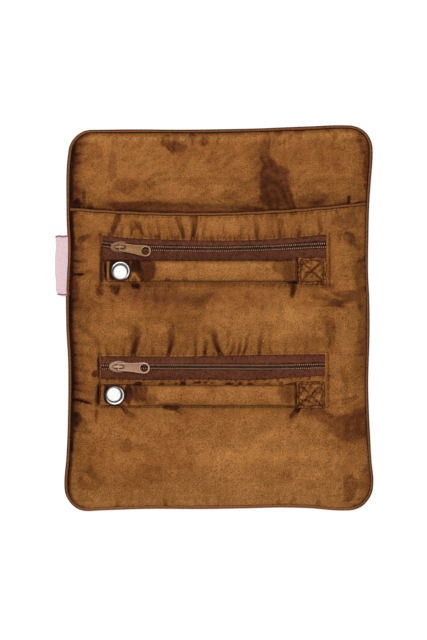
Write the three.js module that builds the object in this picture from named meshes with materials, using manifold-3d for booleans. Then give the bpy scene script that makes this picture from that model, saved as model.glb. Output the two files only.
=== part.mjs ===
// A satin jewelry roll lying open. Four padded sections fold over each other along three lines.
// The front panel has a piped mouth, two zipped pockets and two padded ring bars that snap shut.
// Millimetres: +X to the right, +Y towards the top edge, +Z up from the surface the roll lies on.
// The origin is on the underside of the upper section, just above the middle fold.
import * as THREE from "three";
import { mergeVertices } from "three/addons/utils/BufferGeometryUtils.js";
import Module from "manifold-3d";

const wasm = await Module();
wasm.setup();

// Shared sizes
const clearance = 0.3; // between pieces that touch on the real roll
const overrun = 2; // how far a cut runs past what it cuts

// The padded sections
const cloth = {
  coverThickness: 0.5,
  paddingThickness: 2.4,
  liningThickness: 0.4,
  panelThickness: 0.5,
  bagThickness: 0.4,
};
const outline = {
  cornerRadius: 15, // over the piping
  cornerFlare: 2, // how far each corner stands out past the straight sides
  crownRun: 15, // the padding draws down to the seam over this distance
  arcSteps: 4,
  marginLeft: 20, // panel edge to zip window
  marginRight: 25.4,
  originAboveFold: 2,
};
const folds = {
  gap: 0.6, // between two sections
  paddingSetback: 1.5, // from a fold to the padding
  paddingInset: 3, // from the seam to the padding
};
const edgePiping = { radius: 1.5, sides: 8 };
const mouth = {
  radius: 1.15,
  sides: 8,
  steps: 8, // across the flat part of the roll
  sag: 5.1, // middle of the mouth below its two ends
  rise: 1.8, // right end above the middle of the chord
  belowFold: 10.5, // middle of the mouth below the top fold
  gatherStrip: 11.3, // gathered satin between the upper pocket and the mouth
};
const flapHeight = { top: 48, bottom: 62 };
const lowerStrip = 20; // satin between the lower pocket and the middle fold

// The zips
const zipWindow = { width: 150, height: 13.4 };
const tape = { thickness: 0.4, hem: 2.5 };
const chain = {
  pitch: 1.3,
  thickness: 1.1,
  toothTip: 0.4,
  toothBase: 0.6,
  toothOverlap: 0.4, // a tooth's tip past the middle line
  railInner: 0.9,
  railOuter: 1.4,
  parting: 1.2, // each row off the middle line, left of the slider
  endGap: 0.5,
};
const slider = {
  length: 10,
  fromWindow: 6.5, // window's left end to the slider's wide end
  topWing: 0.8,
  bottomWing: 0.65,
  flange: 0.7,
  nose: 1.2, // how far the rounded ends stand out
};
const crown = { length: 7.4, width: 1.3, wall: 0.7, leg: 1.1 };
const pull = {
  reach: 21, // crossbar to tip
  endRadius: 3.95,
  holeRadius: 2.8,
  thickness: 0.9,
  crossbar: 0.8,
  armWidth: 1.2,
  slotWidth: 3,
  slotEnd: 5.6, // crossbar to the far end of the slot
  waist: 6.2, // width of the tab beside the slot
};
const bagMargin = 3; // fold to the foot of a zipped pocket

// The ring bars
const bar = {
  width: 13.9,
  height: 6.8,
  tabWidth: 14.7,
  tabThickness: 0.8,
  tabLength: 15.4,
  neckLength: 16.8, // flat tab to full padding
  bendLength: 9.4, // full padding to the sewn end
  endWidth: 15,
  endThickness: 2.2,
  wall: 0.5,
  sides: 12,
};
const patch = { length: 19.7, height: 18.5, thickness: 1, cornerRadius: 1.2, bevel: 0.25 };
const snap = {
  capRadius: 6.25,
  capHeight: 2.2,
  capRim: 0.6,
  flangeRadius: 5,
  flangeThickness: 0.5,
  socketRadius: 5.5,
  socketHeight: 1.7,
  socketTop: 0.6, // wall over the stud
  knobRadius: 1.9,
  knobNeck: 1.6,
  knobHeight: 1.2,
  capBarrel: 1.3,
  postBarrel: 1,
  fromTabEnd: 9.2,
  segments: 18,
};

// What differs between the upper set and the lower one
const sets = {
  upper: { shift: 0, barRise: 24.8, zipSpace: 0.3, tabInset: 3, pullYaw: 9 },
  lower: { shift: -1, barRise: 5.8, zipSpace: 4.95, tabInset: 0.3, pullYaw: 3 },
};

// The side label: bare, caught in the seam
const label = {
  height: 40.6,
  aboveFold: 17.7,
  thickness: 0.4,
  reach: 8.5, // past the piping
  wrapDegrees: 15,
};

const satin = { color: 0x9c6430, roughness: 0.45, metalness: 0 };
const satinDark = { color: 0x7a4a22, roughness: 0.5, metalness: 0 };
const wadding = { color: 0xe8e2d6, roughness: 0.95, metalness: 0 };
const tapeWeave = { color: 0x5a2f22, roughness: 0.85, metalness: 0 };
const toothNylon = { color: 0x8a5a3c, roughness: 0.5, metalness: 0 };
const bronze = { color: 0x9a7358, roughness: 0.4, metalness: 0.6 };
const steel = { color: 0xd8d6d2, roughness: 0.2, metalness: 1 };
const ribbon = { color: 0xe8cfd2, roughness: 0.7, metalness: 0 };

// Heights of the layers, from the table up
const coverTop = cloth.coverThickness;
const paddingLow = coverTop + clearance;
const liningEdge = coverTop + clearance; // where the layers meet at the seam
const liningFlat = paddingLow + cloth.paddingThickness + clearance;
const liningTop = liningFlat + cloth.liningThickness;
const bagLow = liningTop + clearance;
const wingLow = bagLow + cloth.bagThickness + clearance;
const chainLow = wingLow + slider.bottomWing + clearance;
const chainMiddle = chainLow + chain.thickness / 2;
const chainTop = chainLow + chain.thickness;
const tapeLow = chainMiddle - tape.thickness / 2;
const tapeTop = tapeLow + tape.thickness;
const bagTop = tapeLow + cloth.bagThickness;
const panelEdge = liningEdge + cloth.liningThickness + clearance;
const panelFlat = Math.max(tapeTop, bagTop) + clearance;
const panelTop = panelFlat + cloth.panelThickness;
const wingTop = chainTop + clearance + slider.topWing;
const barLow = panelTop + clearance;

// Places across the roll
const panelWidth = outline.marginLeft + zipWindow.width + outline.marginRight;
const halfWidth = panelWidth / 2;
const windowLeft = outline.marginLeft - halfWidth;
const windowRight = windowLeft + zipWindow.width;
const seamGap = 2 * edgePiping.radius + clearance; // panel edge to the outside of the piping
const arcRadius = outline.cornerRadius - seamGap;
const pipingOffset = edgePiping.radius + clearance;

// Places up the roll
const pullDrop = (set) => (pull.reach - pull.endRadius) * Math.sin(THREE.MathUtils.degToRad(set.pullYaw));
const zipRise = (set) => set.barRise + patch.height + set.zipSpace + pullDrop(set) + pull.endRadius;
const tapeReach = zipWindow.height / 2 + tape.hem; // middle line to the tape's outer edge
const bagReach = tapeReach + clearance + cloth.bagThickness;
const middleFold = -outline.originAboveFold;
const mouthRise = zipRise(sets.upper) + bagReach + mouth.gatherStrip;
const topFold = middleFold + mouthRise + mouth.belowFold;
const bottomFold = middleFold - zipRise(sets.lower) - bagReach - lowerStrip;
const topEdge = topFold + flapHeight.top - seamGap;
const bottomEdge = bottomFold - flapHeight.bottom + seamGap;

const root = new THREE.Group();

function addMesh(name, geometry, finish, parent = root) {
  const mesh = new THREE.Mesh(geometry, new THREE.MeshStandardMaterial(finish));
  mesh.name = name;
  parent.add(mesh);
  return mesh;
}

// A geometry as a solid that can be cut and joined, and back again
function toSolid(geometry) {
  const plain = geometry.clone();
  plain.deleteAttribute("normal");
  plain.deleteAttribute("uv");
  const merged = mergeVertices(plain);
  return new wasm.Manifold(
    new wasm.Mesh({
      numProp: 3,
      vertProperties: merged.attributes.position.array,
      triVerts: new Uint32Array(merged.index.array),
    }),
  );
}

function fromSolid(solid) {
  const { vertProperties, triVerts } = solid.getMesh();
  const geometry = new THREE.BufferGeometry();
  geometry.setAttribute("position", new THREE.BufferAttribute(vertProperties, 3));
  geometry.setIndex(new THREE.BufferAttribute(triVerts, 1));
  const faceted = geometry.toNonIndexed();
  faceted.computeVertexNormals();
  return faceted;
}

// Turns every triangle round if the closed surface encloses a negative volume
function facingOut(points, triangles) {
  let volume = 0;
  for (const [a, b, c] of triangles) volume += points[a].dot(points[b].clone().cross(points[c]));
  const ordered = volume < 0 ? triangles.map(([a, b, c]) => [a, c, b]) : triangles;
  const geometry = new THREE.BufferGeometry().setFromPoints(points);
  geometry.setIndex(ordered.flat());
  const faceted = geometry.toNonIndexed();
  faceted.computeVertexNormals();
  return faceted;
}

// A closed surface through rings that all have the same number of points
function loft(rings) {
  const around = rings[0].length;
  const triangles = [];
  for (let i = 0; i + 1 < rings.length; i++) {
    for (let j = 0; j < around; j++) {
      const a = i * around + j;
      const b = i * around + ((j + 1) % around);
      triangles.push([a, b, b + around], [a, b + around, a + around]);
    }
  }
  const last = (rings.length - 1) * around;
  for (let j = 1; j + 1 < around; j++) {
    triangles.push([0, j + 1, j], [last, last + j, last + j + 1]);
  }
  return facingOut(rings.flat(), triangles);
}

// A round cord through points that run roughly level
function tubeAlong(points, radius, sides) {
  const up = new THREE.Vector3(0, 0, 1);
  const rings = points.map((point, i) => {
    const before = points[Math.max(i - 1, 0)];
    const after = points[Math.min(i + 1, points.length - 1)];
    const along = after.clone().sub(before).normalize();
    const side = along.clone().cross(up).normalize();
    const over = side.clone().cross(along);
    return Array.from({ length: sides }, (_, k) => {
      const angle = ((k + 0.5) / sides) * 2 * Math.PI;
      const across = side.clone().multiplyScalar(Math.cos(angle) * radius);
      return point.clone().add(across).addScaledVector(over, Math.sin(angle) * radius);
    });
  });
  return loft(rings);
}

// A layer of cloth on a grid: cells[j][i] holds the place and the two heights of row j, column i
function sheet(cells) {
  const rows = cells.length;
  const columns = cells[0].length;
  const flat = cells.flat();
  const points = [
    ...flat.map((c) => new THREE.Vector3(c.x, c.y, c.low)),
    ...flat.map((c) => new THREE.Vector3(c.x, c.y, c.high)),
  ];
  const low = (i, j) => j * columns + i;
  const high = (i, j) => flat.length + low(i, j);
  const triangles = [];
  const quad = (a, b, c, d) => triangles.push([a, b, c], [a, c, d]);
  for (let j = 0; j + 1 < rows; j++) {
    for (let i = 0; i + 1 < columns; i++) {
      quad(high(i, j), high(i + 1, j), high(i + 1, j + 1), high(i, j + 1));
      quad(low(i, j), low(i, j + 1), low(i + 1, j + 1), low(i + 1, j));
    }
    quad(low(0, j), high(0, j), high(0, j + 1), low(0, j + 1));
    quad(low(columns - 1, j), low(columns - 1, j + 1), high(columns - 1, j + 1), high(columns - 1, j));
  }
  for (let i = 0; i + 1 < columns; i++) {
    quad(low(i, 0), low(i + 1, 0), high(i + 1, 0), high(i, 0));
    quad(low(i, rows - 1), high(i, rows - 1), high(i + 1, rows - 1), low(i + 1, rows - 1));
  }
  return facingOut(points, triangles);
}

// A flat outline carried straight up from one height to another
function prism(shape, low, high, curveSegments = 4) {
  const geometry = new THREE.ExtrudeGeometry(shape, { depth: high - low, bevelEnabled: false, curveSegments });
  return geometry.translate(0, 0, low);
}

function polygon(points) {
  return new THREE.Shape(points.map(([x, y]) => new THREE.Vector2(x, y)));
}

function rectangle(left, bottom, right, top) {
  return polygon([
    [left, bottom],
    [right, bottom],
    [right, top],
    [left, top],
  ]);
}

function turned(profile, segments) {
  const points = profile.map(([r, z]) => new THREE.Vector2(r, z));
  return new THREE.LatheGeometry(points, segments).rotateX(Math.PI / 2);
}

// Distances from the seam at which the cloth has a grid line: the corner arc's steps and the crown's end
function seamInsets() {
  const insets = [];
  for (let k = 0; k <= outline.arcSteps; k++) {
    insets.push(arcRadius * (1 - Math.cos(((k / outline.arcSteps) * Math.PI) / 2)));
  }
  insets.push(outline.crownRun);
  return insets.sort((a, b) => a - b);
}

// The corners stand out a little past straight sides
function flared(x, y) {
  const far = y > 0 ? topEdge : -bottomEdge;
  const near = y > 0 ? topFold : -bottomFold;
  const share = Math.max(0, (Math.abs(y) - near) / (far - near)) ** 2;
  const across = x / halfWidth;
  const stand = outline.cornerFlare * share;
  return { x: x + stand * across, y: y + Math.sign(y) * stand * across ** 2 };
}

// How far the padding has risen at a point: 0 at the seam, 1 past the crown's run, a quarter ellipse between
function crownShare(x, y) {
  const toSide = Math.abs(x) - (halfWidth - arcRadius);
  const toEnd = Math.max(y - (topEdge - arcRadius), bottomEdge + arcRadius - y);
  const outside = Math.hypot(Math.max(toSide, 0), Math.max(toEnd, 0));
  const inset = arcRadius - outside - Math.min(Math.max(toSide, toEnd), 0);
  const left = Math.max(0, 1 - inset / outline.crownRun);
  return Math.sqrt(Math.max(0, 1 - left ** 2));
}

// Half the panel's width at a height on the roll, drawn in round the corners
function halfWidthAt(y) {
  const past = Math.max(0, y - (topEdge - arcRadius), bottomEdge + arcRadius - y);
  return halfWidth - arcRadius + Math.sqrt(Math.max(0, arcRadius ** 2 - past ** 2));
}

// The rows of a section, bottom to top: its folds, and the grid lines by an outer edge
function sectionRows({ from, to, outer }, inset) {
  const insets = seamInsets().filter((s) => s > inset);
  if (outer === "top") {
    const edgeRows = [inset, ...insets].map((s) => topEdge - s).reverse();
    return [from, ...edgeRows];
  }
  if (outer === "bottom") {
    const edgeRows = [inset, ...insets].map((s) => bottomEdge + s);
    return [...edgeRows, to];
  }
  return [from, to];
}

// The places of one layer's grid in a section, inset from the seam
function sectionGrid(section, inset = 0) {
  const insets = [inset, ...seamInsets().filter((s) => s > inset)];
  return sectionRows(section, inset).map((y) => {
    const half = halfWidthAt(y);
    const left = insets.map((s) => s - half);
    const right = insets.map((s) => half - s).reverse();
    return [...left, ...right].map((x) => ({ x, y }));
  });
}

function layer(grid, heights) {
  return sheet(grid.map((row) => row.map((at) => ({ ...flared(at.x, at.y), ...heights(at) }))));
}

const rising = (edge, flat, at) => edge + (flat - edge) * crownShare(at.x, at.y);

const sections = {
  top_flap: { from: topFold + folds.gap / 2, to: topEdge, outer: "top" },
  upper: { from: middleFold + folds.gap / 2, to: topFold - folds.gap / 2 },
  lower: { from: bottomFold + folds.gap / 2, to: middleFold - folds.gap / 2 },
  bottom_flap: { from: bottomEdge, to: bottomFold - folds.gap / 2, outer: "bottom" },
};

function paddingSection(section) {
  const { from, to, outer } = section;
  const setback = folds.paddingSetback;
  return {
    from: outer === "bottom" ? from : from + setback,
    to: outer === "top" ? to : to - setback,
    outer,
  };
}

function addSection(name, section) {
  addMesh(
    name + "_cover",
    layer(sectionGrid(section), () => ({ low: 0, high: coverTop })),
    satin,
  );
  addMesh(
    name + "_padding",
    layer(sectionGrid(paddingSection(section), folds.paddingInset), (at) => ({
      low: paddingLow,
      high: rising(liningEdge, liningFlat, at) - clearance,
    })),
    wadding,
  );
  addMesh(
    name + "_lining",
    layer(sectionGrid(section), (at) => {
      const low = rising(liningEdge, liningFlat, at);
      return { low, high: low + cloth.liningThickness };
    }),
    satin,
  );
}

// The sagging line of the pocket's mouth
function mouthY(x) {
  const across = x / halfWidth;
  return middleFold + mouthRise + mouth.rise * across + mouth.sag * across ** 2;
}

// Height of the mouth piping's middle, resting on the lining
const mouthMiddle = (x) => {
  const resting = cloth.liningThickness + clearance + mouth.radius;
  return rising(liningEdge, liningFlat, { x, y: 0 }) + resting;
};

// The places across the upper panel: the seam's grid lines, and even steps between the crowns
function mouthColumns() {
  const [columns] = sectionGrid(sections.upper);
  const places = columns.map(({ x }) => x);
  const reach = halfWidth - outline.crownRun;
  for (let k = 1; k < mouth.steps; k++) places.push((2 * k * reach) / mouth.steps - reach);
  return places.sort((a, b) => a - b);
}

function panelLayer(section) {
  return layer(sectionGrid(section), (at) => {
    const low = rising(panelEdge, panelFlat, at);
    return { low, high: low + cloth.panelThickness };
  });
}

// The upper front panel: flat over the zipped pocket, then down to the piped mouth
function upperPanelGeometry() {
  const { from } = sections.upper;
  const bagEnd = middleFold + zipRise(sets.upper) + bagReach;
  const columns = mouthColumns();
  const flatRow = (y) =>
    columns.map((x) => {
      const low = rising(panelEdge, panelFlat, { x, y: 0 });
      return { x, y, low, high: low + cloth.panelThickness };
    });
  const mouthRow = columns.map((x) => {
    const low = mouthMiddle(x) - cloth.panelThickness / 2;
    return { x, y: mouthY(x) - mouth.radius - clearance, low, high: low + cloth.panelThickness };
  });
  return sheet([flatRow(from), flatRow(bagEnd), mouthRow]);
}

function mouthPipingGeometry() {
  const columns = mouthColumns().slice(1, -1);
  const points = columns.map((x) => new THREE.Vector3(x, mouthY(x), mouthMiddle(x)));
  return tubeAlong(points, mouth.radius, mouth.sides);
}

// The window of a zip and the hole of a snap's post, cut out of a front panel
function openPanel(geometry, place) {
  const { left, right, zipY, snapX, barY } = place;
  const half = zipWindow.height / 2;
  const low = panelFlat - overrun;
  const high = panelTop + overrun;
  const hole = new THREE.Shape().absarc(snapX, barY, snap.postBarrel + clearance, 0, 2 * Math.PI);
  const cut = toSolid(prism(rectangle(left, zipY - half, right, zipY + half), low, high));
  return fromSolid(toSolid(geometry).subtract(cut).subtract(toSolid(prism(hole, low, high))));
}

// Piping round a flap: up one side, round both corners and down the other side
function flapPipingGeometry(section) {
  const top = section.outer === "top";
  const sign = top ? 1 : -1;
  const edge = top ? topEdge : bottomEdge;
  const start = top ? section.from : section.to;
  const corner = { x: halfWidth - arcRadius, y: edge - sign * arcRadius };
  const half = [];
  half.push([halfWidth, start], [halfWidth, edge - sign * outline.crownRun]);
  for (let k = 0; k <= outline.arcSteps; k++) {
    const angle = ((k / outline.arcSteps) * Math.PI) / 2;
    half.push([corner.x + arcRadius * Math.cos(angle), corner.y + sign * arcRadius * Math.sin(angle)]);
  }
  half.push([corner.x - outline.crownRun, edge]);
  const path = [...half, ...half.map(([x, y]) => [-x, y]).reverse()];
  const points = path.map(([x, y]) => {
    const place = flared(x, y);
    const outwardX = Math.abs(x) - corner.x;
    const outwardY = sign * (y - corner.y);
    const outward = new THREE.Vector2(Math.max(outwardX, 0), Math.max(outwardY, 0)).normalize();
    return new THREE.Vector3(
      place.x + Math.sign(x) * outward.x * pipingOffset,
      place.y + sign * outward.y * pipingOffset,
      edgePiping.radius,
    );
  });
  return tubeAlong(points, edgePiping.radius, edgePiping.sides);
}

function addSidePiping(name, section) {
  const x = halfWidth + pipingOffset;
  for (const [side, sign] of Object.entries({ left: -1, right: 1 })) {
    const ends = [section.from, section.to].map((y) => new THREE.Vector3(sign * x, y, edgePiping.radius));
    addMesh(name + "_piping_" + side, tubeAlong(ends, edgePiping.radius, edgePiping.sides), satinDark);
  }
}

// Where one set of zip, slider, ring bar and snap lies
function placeOf(name, fold) {
  const set = sets[name];
  const left = windowLeft + set.shift;
  const right = windowRight + set.shift;
  const tabLeft = left + set.tabInset;
  return {
    set,
    fold,
    left,
    right,
    zipY: fold + zipRise(set),
    barY: fold + set.barRise + patch.height / 2,
    sliderX: left + slider.fromWindow + slider.length / 2,
    tabLeft,
    snapX: tabLeft + snap.fromTabEnd,
    hingeX: right - patch.length,
  };
}

// How far a row of teeth is parted from the middle line: it opens along the slider and stays open to its left
function partingAt(x, place) {
  const share = (place.sliderX + slider.length / 2 - x) / slider.length;
  return chain.parting * THREE.MathUtils.clamp(share, 0, 1);
}

// One row of interlocking teeth on its rail, side 1 above the middle line and -1 below
function teethGeometry(place, side) {
  const start = place.left + chain.endGap;
  const end = place.right - chain.endGap;
  const offset = side > 0 ? chain.pitch / 4 : (3 * chain.pitch) / 4;
  const count = Math.floor((end - start - chain.pitch / 2) / chain.pitch);
  const points = [];
  const put = (x, y) => points.push([x, side * (y + partingAt(x, place))]);
  put(start, chain.railInner);
  for (let k = 0; k < count; k++) {
    const x = start + offset + k * chain.pitch;
    put(x - chain.toothBase / 2 + chain.pitch / 4, chain.railInner);
    put(x - chain.toothTip / 2 + chain.pitch / 4, -chain.toothOverlap);
    put(x + chain.toothTip / 2 + chain.pitch / 4, -chain.toothOverlap);
    put(x + chain.toothBase / 2 + chain.pitch / 4, chain.railInner);
  }
  put(end, chain.railInner);
  put(end, chain.railOuter);
  put(place.sliderX + slider.length / 2, chain.railOuter);
  put(place.sliderX - slider.length / 2, chain.railOuter);
  put(start, chain.railOuter);
  return prism(polygon(points), chainLow, chainTop).translate(0, place.zipY, 0);
}

function tapeGeometry(place, side) {
  const start = place.left - tape.hem;
  const end = place.right + tape.hem;
  const inner = chain.railOuter + clearance;
  const points = [];
  const put = (x, y) => points.push([x, side * y]);
  put(start, tapeReach);
  for (const x of [start, place.sliderX - slider.length / 2, place.sliderX + slider.length / 2, end]) {
    put(x, inner + partingAt(x, place));
  }
  put(end, tapeReach);
  return prism(polygon(points), tapeLow, tapeTop).translate(0, place.zipY, 0);
}

// Half the slider's outer width along its length, outside the passage for the teeth
const passageHalf = (share) => chain.railOuter + clearance + chain.parting * share;

// The slider's plan: wide rounded shoulders where the rows part, a narrower rounded end where they mesh
function sliderPlan() {
  const half = slider.length / 2;
  const wide = passageHalf(1) + slider.flange;
  const narrow = passageHalf(0) + slider.flange;
  const body = half - slider.nose;
  const shape = new THREE.Shape();
  shape.moveTo(-body, -wide);
  shape.lineTo(body, -narrow);
  shape.quadraticCurveTo(half, -narrow, half, 0);
  shape.quadraticCurveTo(half, narrow, body, narrow);
  shape.lineTo(-body, wide);
  shape.quadraticCurveTo(-half, wide, -half, 0);
  shape.quadraticCurveTo(-half, -wide, -body, -wide);
  return shape;
}

// The arch over the pull's crossbar, seen from the side
function crownGeometry() {
  const half = crown.length / 2;
  const turningReach = Math.hypot(pull.crossbar, pull.thickness) / 2;
  const roof = crown.wall / 2 + clearance + pull.thickness / 2 + turningReach + clearance;
  const peak = roof + crown.wall;
  const shape = new THREE.Shape();
  shape.moveTo(-half, 0);
  shape.quadraticCurveTo(-half + crown.leg, peak, 0, peak);
  shape.quadraticCurveTo(half - crown.leg, peak, half, 0);
  shape.lineTo(half - crown.leg, 0);
  shape.quadraticCurveTo(half - 2 * crown.leg, roof, 0, roof);
  shape.quadraticCurveTo(2 * crown.leg - half, roof, crown.leg - half, 0);
  const geometry = new THREE.ExtrudeGeometry(shape, { depth: crown.width, bevelEnabled: false, curveSegments: 5 });
  return geometry.translate(0, 0, -crown.width / 2).rotateX(Math.PI / 2).translate(0, 0, wingTop - crown.wall / 2);
}

// Two wings joined by the wedge that parts the rows, with a passage for the teeth and a slot for the tapes
function sliderGeometry() {
  const far = slider.length / 2 + overrun;
  const farShare = overrun / slider.length;
  const passage = polygon([
    [-far, -passageHalf(1 + farShare)],
    [far, -passageHalf(-farShare)],
    [far, passageHalf(-farShare)],
    [-far, passageHalf(1 + farShare)],
  ]);
  const wide = passageHalf(1) + slider.flange + overrun;
  const wedgeHalf = chain.parting - chain.toothOverlap - clearance;
  const wedgeLength = (wedgeHalf / chain.parting) * slider.length;
  const back = slider.nose / 2 - slider.length / 2;
  const wedge = polygon([
    [back, -wedgeHalf],
    [wedgeLength - slider.length / 2, 0],
    [back, wedgeHalf],
  ]);
  const passageLow = chainLow - clearance;
  const passageTop = chainTop + clearance;
  const half = slider.bottomWing / 2;
  const body = toSolid(prism(sliderPlan(), wingLow, wingTop));
  const slot = toSolid(prism(rectangle(-far, -wide, far, wide), tapeLow - clearance, tapeTop + clearance));
  return fromSolid(
    body
      .subtract(toSolid(prism(passage, passageLow, passageTop)))
      .subtract(slot)
      .add(toSolid(prism(wedge, passageLow - half, passageTop + half)))
      .add(toSolid(crownGeometry())),
  );
}

// A flat tab with a slot that straddles the crown, a waist and a round end with a round hole
function pullGeometry() {
  const back = -pull.crossbar / 2;
  const arm = pull.slotWidth / 2 + pull.armWidth;
  const waist = pull.waist / 2;
  const centre = pull.reach - pull.endRadius;
  const shape = new THREE.Shape();
  shape.moveTo(back, -arm);
  shape.lineTo(pull.slotEnd, -waist);
  shape.quadraticCurveTo(centre - pull.endRadius, -waist, centre, -pull.endRadius);
  shape.absarc(centre, 0, pull.endRadius, -Math.PI / 2, Math.PI / 2, false);
  shape.quadraticCurveTo(centre - pull.endRadius, waist, pull.slotEnd, waist);
  shape.lineTo(back, arm);
  const hole = new THREE.Path().absarc(centre, 0, pull.holeRadius, 0, 2 * Math.PI, true);
  const slot = rectangle(pull.crossbar / 2, -pull.slotWidth / 2, pull.slotEnd - pull.armWidth, pull.slotWidth / 2);
  shape.holes.push(hole, slot);
  return prism(shape, -pull.thickness / 2, pull.thickness / 2, 6);
}

// A flat pocket: a tray of cloth under the zip, closed in front below the tape
function bagGeometry(place) {
  const wall = cloth.bagThickness;
  const left = place.left - tape.hem - clearance - wall;
  const right = place.right + tape.hem + clearance + wall;
  const top = place.zipY + bagReach;
  const foot = place.fold + bagMargin;
  const outer = prism(rectangle(left, foot, right, top), bagLow, bagTop);
  const room = prism(rectangle(left + wall, foot + wall, right - wall, top - wall), bagLow + wall, bagTop - wall);
  const open = rectangle(left + wall, place.zipY - tapeReach - clearance, right - wall, top - wall);
  const opening = prism(open, bagLow + wall, bagTop + overrun);
  const hole = new THREE.Shape().absarc(place.snapX, place.barY, snap.postBarrel + clearance, 0, 2 * Math.PI);
  return fromSolid(
    toSolid(outer)
      .subtract(toSolid(room))
      .subtract(toSolid(opening))
      .subtract(toSolid(prism(hole, bagLow + wall, bagTop + overrun))),
  );
}

function addZip(name, place) {
  for (const [where, side] of Object.entries({ above: 1, below: -1 })) {
    addMesh(name + "_zip_tape_" + where, tapeGeometry(place, side), tapeWeave);
    addMesh(name + "_zip_teeth_" + where, teethGeometry(place, side), toothNylon);
  }
  addMesh(name + "_pocket_bag", bagGeometry(place), satinDark);
  const sliderGroup = new THREE.Group();
  sliderGroup.position.set(place.sliderX, place.zipY, 0);
  addMesh(name + "_zip_slider", sliderGeometry(), bronze, sliderGroup);
  const tab = addMesh(name + "_zip_pull", pullGeometry(), bronze, sliderGroup);
  tab.position.z = wingTop + clearance + pull.thickness / 2;
  tab.rotation.z = -THREE.MathUtils.degToRad(place.set.pullYaw);
  root.add(sliderGroup);
}

// One cross-section of a ring bar, as a rounded oval
function barRing(x, halfAcross, halfUp, middle) {
  const roundShare = 0.7;
  return Array.from({ length: bar.sides }, (_, k) => {
    const angle = ((k + 0.5) / bar.sides) * 2 * Math.PI;
    const y = Math.sign(Math.cos(angle)) * Math.abs(Math.cos(angle)) ** roundShare;
    const z = Math.sign(Math.sin(angle)) * Math.abs(Math.sin(angle)) ** roundShare;
    return new THREE.Vector3(x, y * halfAcross, middle + z * halfUp);
  });
}

// Where the bar is flat, how it swells and where it is sewn down: place, half width, half height, middle
function barStations(length) {
  const middle = barLow + bar.height / 2;
  const flat = [bar.tabWidth / 2, bar.tabThickness / 2, middle];
  const full = [bar.width / 2, bar.height / 2, middle];
  const sewn = [bar.endWidth / 2, bar.endThickness / 2, barLow + bar.endThickness / 2];
  const between = (a, b, share) => a.map((v, i) => v + (b[i] - v) * share);
  const neckEnd = bar.tabLength + bar.neckLength;
  const bendStart = length - bar.bendLength;
  const stations = [[0, ...flat]];
  const swellSteps = 3;
  for (let k = 0; k <= swellSteps; k++) {
    const share = k / swellSteps;
    const swell = Math.sin((share * Math.PI) / 2);
    stations.push([bar.tabLength + share * bar.neckLength, ...between(flat, full, swell)]);
  }
  stations.push([(neckEnd + bendStart) / 2, ...full]);
  for (let k = 0; k <= swellSteps; k++) {
    const share = k / swellSteps;
    const fall = 1 - Math.cos((share * Math.PI) / 2);
    stations.push([bendStart + share * bar.bendLength, ...between(full, sewn, fall)]);
  }
  return stations;
}

const shrunk = (stations, by) => stations.map(([x, a, b, middle]) => [x, a - by, b - by, middle]);

const barLoft = (stations) => loft(stations.map((station) => barRing(...station)));

function addBar(name, place) {
  const group = new THREE.Group();
  group.position.set(place.tabLeft, place.barY, 0);
  root.add(group);
  const length = place.hingeX - clearance - place.tabLeft;
  const stations = barStations(length);
  const padded = shrunk(stations, bar.wall).filter(([x, , b]) => x > bar.tabLength && b > 0);
  const [, ...mouthSizes] = padded[padded.length - 1];
  const cavity = barLoft([...padded, [length + overrun, ...mouthSizes]]);
  const barrelHole = new THREE.Shape().absarc(snap.fromTabEnd, 0, snap.capBarrel + clearance, 0, 2 * Math.PI);
  const hole = prism(barrelHole, barLow, barLow + bar.height);
  const cover = toSolid(barLoft(stations)).subtract(toSolid(cavity)).subtract(toSolid(hole));
  addMesh(name + "_bar_cover", fromSolid(cover), satin, group);
  const stuffed = shrunk(padded, clearance).filter(([x]) => x <= length - bar.bendLength / 2);
  addMesh(name + "_bar_filling", barLoft(stuffed), wadding, group);
  const { height, cornerRadius, bevel, thickness } = patch;
  const right = place.right - place.hingeX;
  const plan = roundedRectangle(clearance + bevel, -height / 2 + bevel, right - bevel, height / 2 - bevel, cornerRadius);
  const end = new THREE.ExtrudeGeometry(plan, {
    depth: thickness - 2 * bevel,
    bevelSize: bevel,
    bevelThickness: bevel,
    bevelSegments: 1,
    curveSegments: 3,
  });
  const patchMesh = addMesh(name + "_bar_end_patch", end, satin);
  patchMesh.position.set(place.hingeX, place.barY, barLow + bevel);
}

function roundedRectangle(left, bottom, right, top, radius) {
  const shape = new THREE.Shape();
  shape.moveTo(left + radius, bottom);
  shape.lineTo(right - radius, bottom);
  shape.absarc(right - radius, bottom + radius, radius, -Math.PI / 2, 0, false);
  shape.absarc(right - radius, top - radius, radius, 0, Math.PI / 2, false);
  shape.absarc(left + radius, top - radius, radius, Math.PI / 2, Math.PI, false);
  shape.absarc(left + radius, bottom + radius, radius, Math.PI, 1.5 * Math.PI, false);
  return shape;
}

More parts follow.
